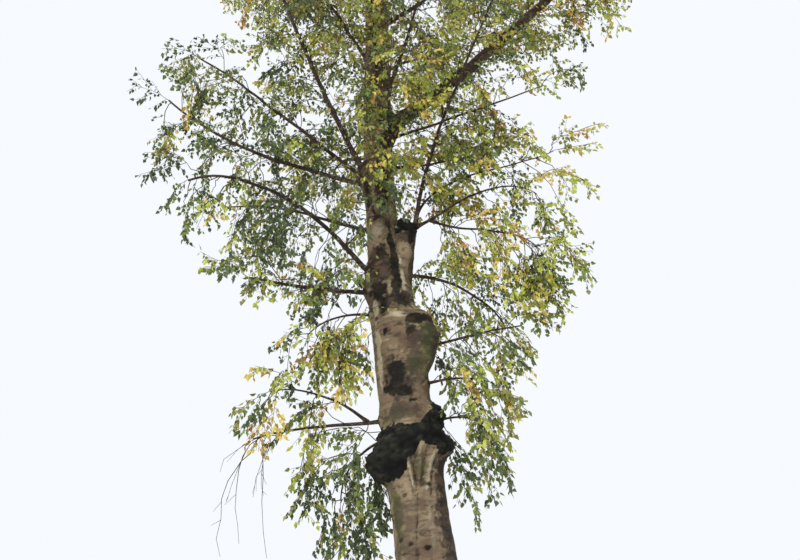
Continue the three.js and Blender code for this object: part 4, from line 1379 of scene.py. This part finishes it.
# Leaves. Thin pointed blades on fine stalks, alternate along the shoots and folded a little
# along the midrib, green in the lower crown and turning yellow and amber. The tints are partly
# painted light: the darkest greens low down are painted shade, and the lighter yellow-greens
# higher up and to the right are painted light through the leaves. Each spray is dealt one tint,
# which drifts a step on some of its shoots, and each leaf grows from its shoot.
LEAF_LENGTH = (0.034, 0.054)
LEAF_GAP = 0.023
LEAF_FIRST = 0.012
LEAF_STALK = 0.3
LEAF_SHIFT = 0.006
# How a leaf points: along its shoot, away from it, by chance and down
LEAF_AHEAD = 0.55
LEAF_ASIDE = 0.6
LEAF_WAYWARD = 0.22
LEAF_HANG = 0.75
LEAF_CLEAR = 0.004
LEAF_ROUGHNESS = 0.5
LEAF_SEED = 77
# The leaf's corners, in lengths of its blade: along, across and up
LEAF_CORNERS = np.array([
    (-LEAF_STALK, 0, 0), (0.02, -0.012, 0), (0.02, 0.012, 0), (0, 0, 0), (0.24, -0.37, 0.06),
    (0.56, -0.25, 0.05), (1, 0, -0.06), (0.56, 0.25, 0.05), (0.24, 0.37, 0.06), (0.42, 0, -0.03),
])
LEAF_FACES = np.array([(0, 1, 2), (3, 4, 9), (4, 5, 9), (5, 6, 9), (6, 7, 9), (7, 8, 9),
                       (8, 3, 9)])
# These tints are set light, partly as painted light for sun shining through the thin leaves
TINTS = {"deep_green": "4c5b33", "green": "6d7e3b", "olive": "8f8f43", "yellow_green": "b3bb49",
         "yellow": "d0ba58", "amber": "b58a42"}
# The shares of shoots one tint greener than their spray, of its tint, and one yellower
TINT_DRIFT = (0.4, 0.5, 0.1)
# How the tints are dealt out in each part of the crown, in the order of the list above
# The dealing is partly autumn colour and partly painted light: the lowest part gets the darkest
# greens as painted shade, and the right, stub and upper parts get more of the lighter yellow-greens
# as painted light through the leaves
TINT_SHARES = {
    "lowest": (0.3, 0.34, 0.18, 0.12, 0.05, 0.01),
    "low_left": (0.05, 0.1, 0.13, 0.22, 0.41, 0.09),
    "low_right": (0.12, 0.26, 0.2, 0.28, 0.12, 0.02),
    "left": (0.27, 0.31, 0.25, 0.14, 0.03, 0),
    "upper_left": (0.1, 0.22, 0.32, 0.26, 0.09, 0.01),
    "right": (0.04, 0.14, 0.24, 0.42, 0.14, 0.02),
    "stub_shoots": (0.03, 0.14, 0.2, 0.44, 0.17, 0.02),
    "back": (0.08, 0.22, 0.24, 0.32, 0.12, 0.02),
    "front": (0.05, 0.1, 0.28, 0.33, 0.2, 0.04),
    "upper": (0.06, 0.12, 0.28, 0.32, 0.18, 0.04),
    "high": (0.06, 0.2, 0.22, 0.34, 0.15, 0.03),
    "tip": (0.06, 0.2, 0.2, 0.34, 0.16, 0.04),
}
leaf_random = np.random.RandomState(LEAF_SEED)

leaf_finishes = []
for tint, hex_colour in TINTS.items():
    leaf_finish = Finish(f"leaf_{tint}")
    leaf_finish.surface["Base Color"].default_value = rgba(hex_colour)
    leaf_finish.surface["Roughness"].default_value = LEAF_ROUGHNESS
    leaf_finishes.append(leaf_finish.material)


def leaves_on(part, part_name):
    """Feet, directions and tints of the leaves along the shoots of one part of the crown."""
    spray_tint = leaf_random.choice(len(TINTS), len(part["size"]), p=TINT_SHARES[part_name])
    shoot_tint = np.repeat(spray_tint, SHOOTS)
    drift = leaf_random.choice([-1, 0, 1], len(shoot_tint), p=TINT_DRIFT)
    shoot_tint = np.clip(shoot_tint + drift, 0, len(TINTS) - 1)
    leafy = np.repeat(part["leafy"], SHOOTS)
    lengths = part["shoot_lengths"]
    counts = np.where(leafy, (lengths / LEAF_GAP + 1).astype(int), 0)
    shoot = np.repeat(np.arange(len(lengths)), counts)
    order = np.arange(len(shoot)) - np.repeat(np.cumsum(counts) - counts, counts)
    shift = leaf_random.uniform(-LEAF_SHIFT, LEAF_SHIFT, len(shoot))
    run = np.minimum(LEAF_FIRST + order * LEAF_GAP + shift, lengths[shoot])
    ways = part["shoot_ways"][shoot]
    feet = part["shoot_feet"][shoot] + ways * run[:, None]
    across = unit(np.cross(ways, leaf_random.normal(0, 1, ways.shape)))
    wayward = leaf_random.normal(0, LEAF_WAYWARD, ways.shape)
    pointing = ways * LEAF_AHEAD + across * LEAF_ASIDE + wayward
    pointing[:, 2] -= LEAF_HANG
    return feet, unit(pointing), shoot_tint[shoot]


# Leaves that hide a bough or the trunk from the front are mostly left out. The grid on the view
# plane that finds them reaches this far to each side, in square cells, and marks a little spare
# wood all round.
SCREEN = 1.2
CELL = 0.0032
SCREEN_SPARE = 1
THIN_SHARE = 0.85
# What is kept in sight: from which share of a bough to which, and the trunk between two heights
SHOWN_FROM = {"right_main": 0.6}
SHOWN_FROM_FOOT = 0.04
SHOWN_TO = 0.72
SHOWN_TRUNK = (0.6, 4.9)
SHOWN_STEPS = 400


def seen(places):
    """The cells of a grid on the view plane where places show, and how far away they are."""
    across, up, depth = from_camera(places)
    cells = ((np.stack([across, up], -1) + SCREEN) / CELL).astype(int)
    return np.clip(cells, 0, int(2 * SCREEN / CELL) - 1), depth


def wood_screen():
    """The distance of the nearest bough or trunk in each cell of the grid, 0 where none is."""
    heights = np.linspace(*SHOWN_TRUNK, SHOWN_STEPS)
    shown = [(trunk_axis(heights), girth(heights))]
    for limb in limbs.values():
        if limb.bare:
            first = SHOWN_FROM.get(limb.name, SHOWN_FROM_FOOT)
            shares = np.linspace(first, SHOWN_TO, SHOWN_STEPS)
            shown.append((limb.at(shares), limb.thickness(shares)))
    screen = np.zeros((int(2 * SCREEN / CELL),) * 2)
    for places, thick in shown:
        cells, depth = seen(places)
        halves = np.round(thick / depth / CELL + SCREEN_SPARE).astype(int)
        for (column, row), away, half in zip(cells, depth, halves):
            patch = screen[column - half:column + half + 1, row - half:row + half + 1]
            np.maximum(patch, away, out=patch)
    return screen


screen = wood_screen()

for part_name, names in CROWN_PARTS.items():
    feet, pointing, tint = leaves_on(parts[part_name], part_name)
    cells, depth = seen(feet)
    hides = depth < screen[cells[:, 0], cells[:, 1]]
    kept = ~hides | (leaf_random.uniform(0, 1, len(feet)) > THIN_SHARE)
    feet, pointing, tint = feet[kept], pointing[kept], tint[kept]
    size = leaf_random.uniform(*LEAF_LENGTH, len(feet))
    tips = feet + pointing * (size * (1 + LEAF_STALK))[:, None]
    kept = inside_space(tips) & clear_of_trunk(tips, LEAF_CLEAR) & clear_of_trunk(feet, 0)
    feet, pointing, tint, size = feet[kept], pointing[kept], tint[kept], size[kept]
    facing = unit(np.cross(pointing, leaf_random.normal(0, 1, pointing.shape)))
    across = np.cross(facing, pointing)
    corners = LEAF_CORNERS + [LEAF_STALK, 0, 0]
    places = feet[:, None] + size[:, None, None] * (
        pointing[:, None] * corners[None, :, :1] + across[:, None] * corners[None, :, 1:2]
        + facing[:, None] * corners[None, :, 2:])
    faces = LEAF_FACES[None] + np.arange(len(feet))[:, None, None] * len(LEAF_CORNERS)
    name = f"leaves_{part_name}"
    mesh = mesh_of(name, places.reshape(-1, 3), faces.reshape(-1, 3), leaf_finishes, False)
    mesh.polygons.foreach_set("material_index", np.repeat(tint, len(LEAF_FACES)).astype(np.int32))
    piece = new_object(name, mesh)
    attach(piece, "root")
    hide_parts(*[f"foliage_{limb}" for limb in names])
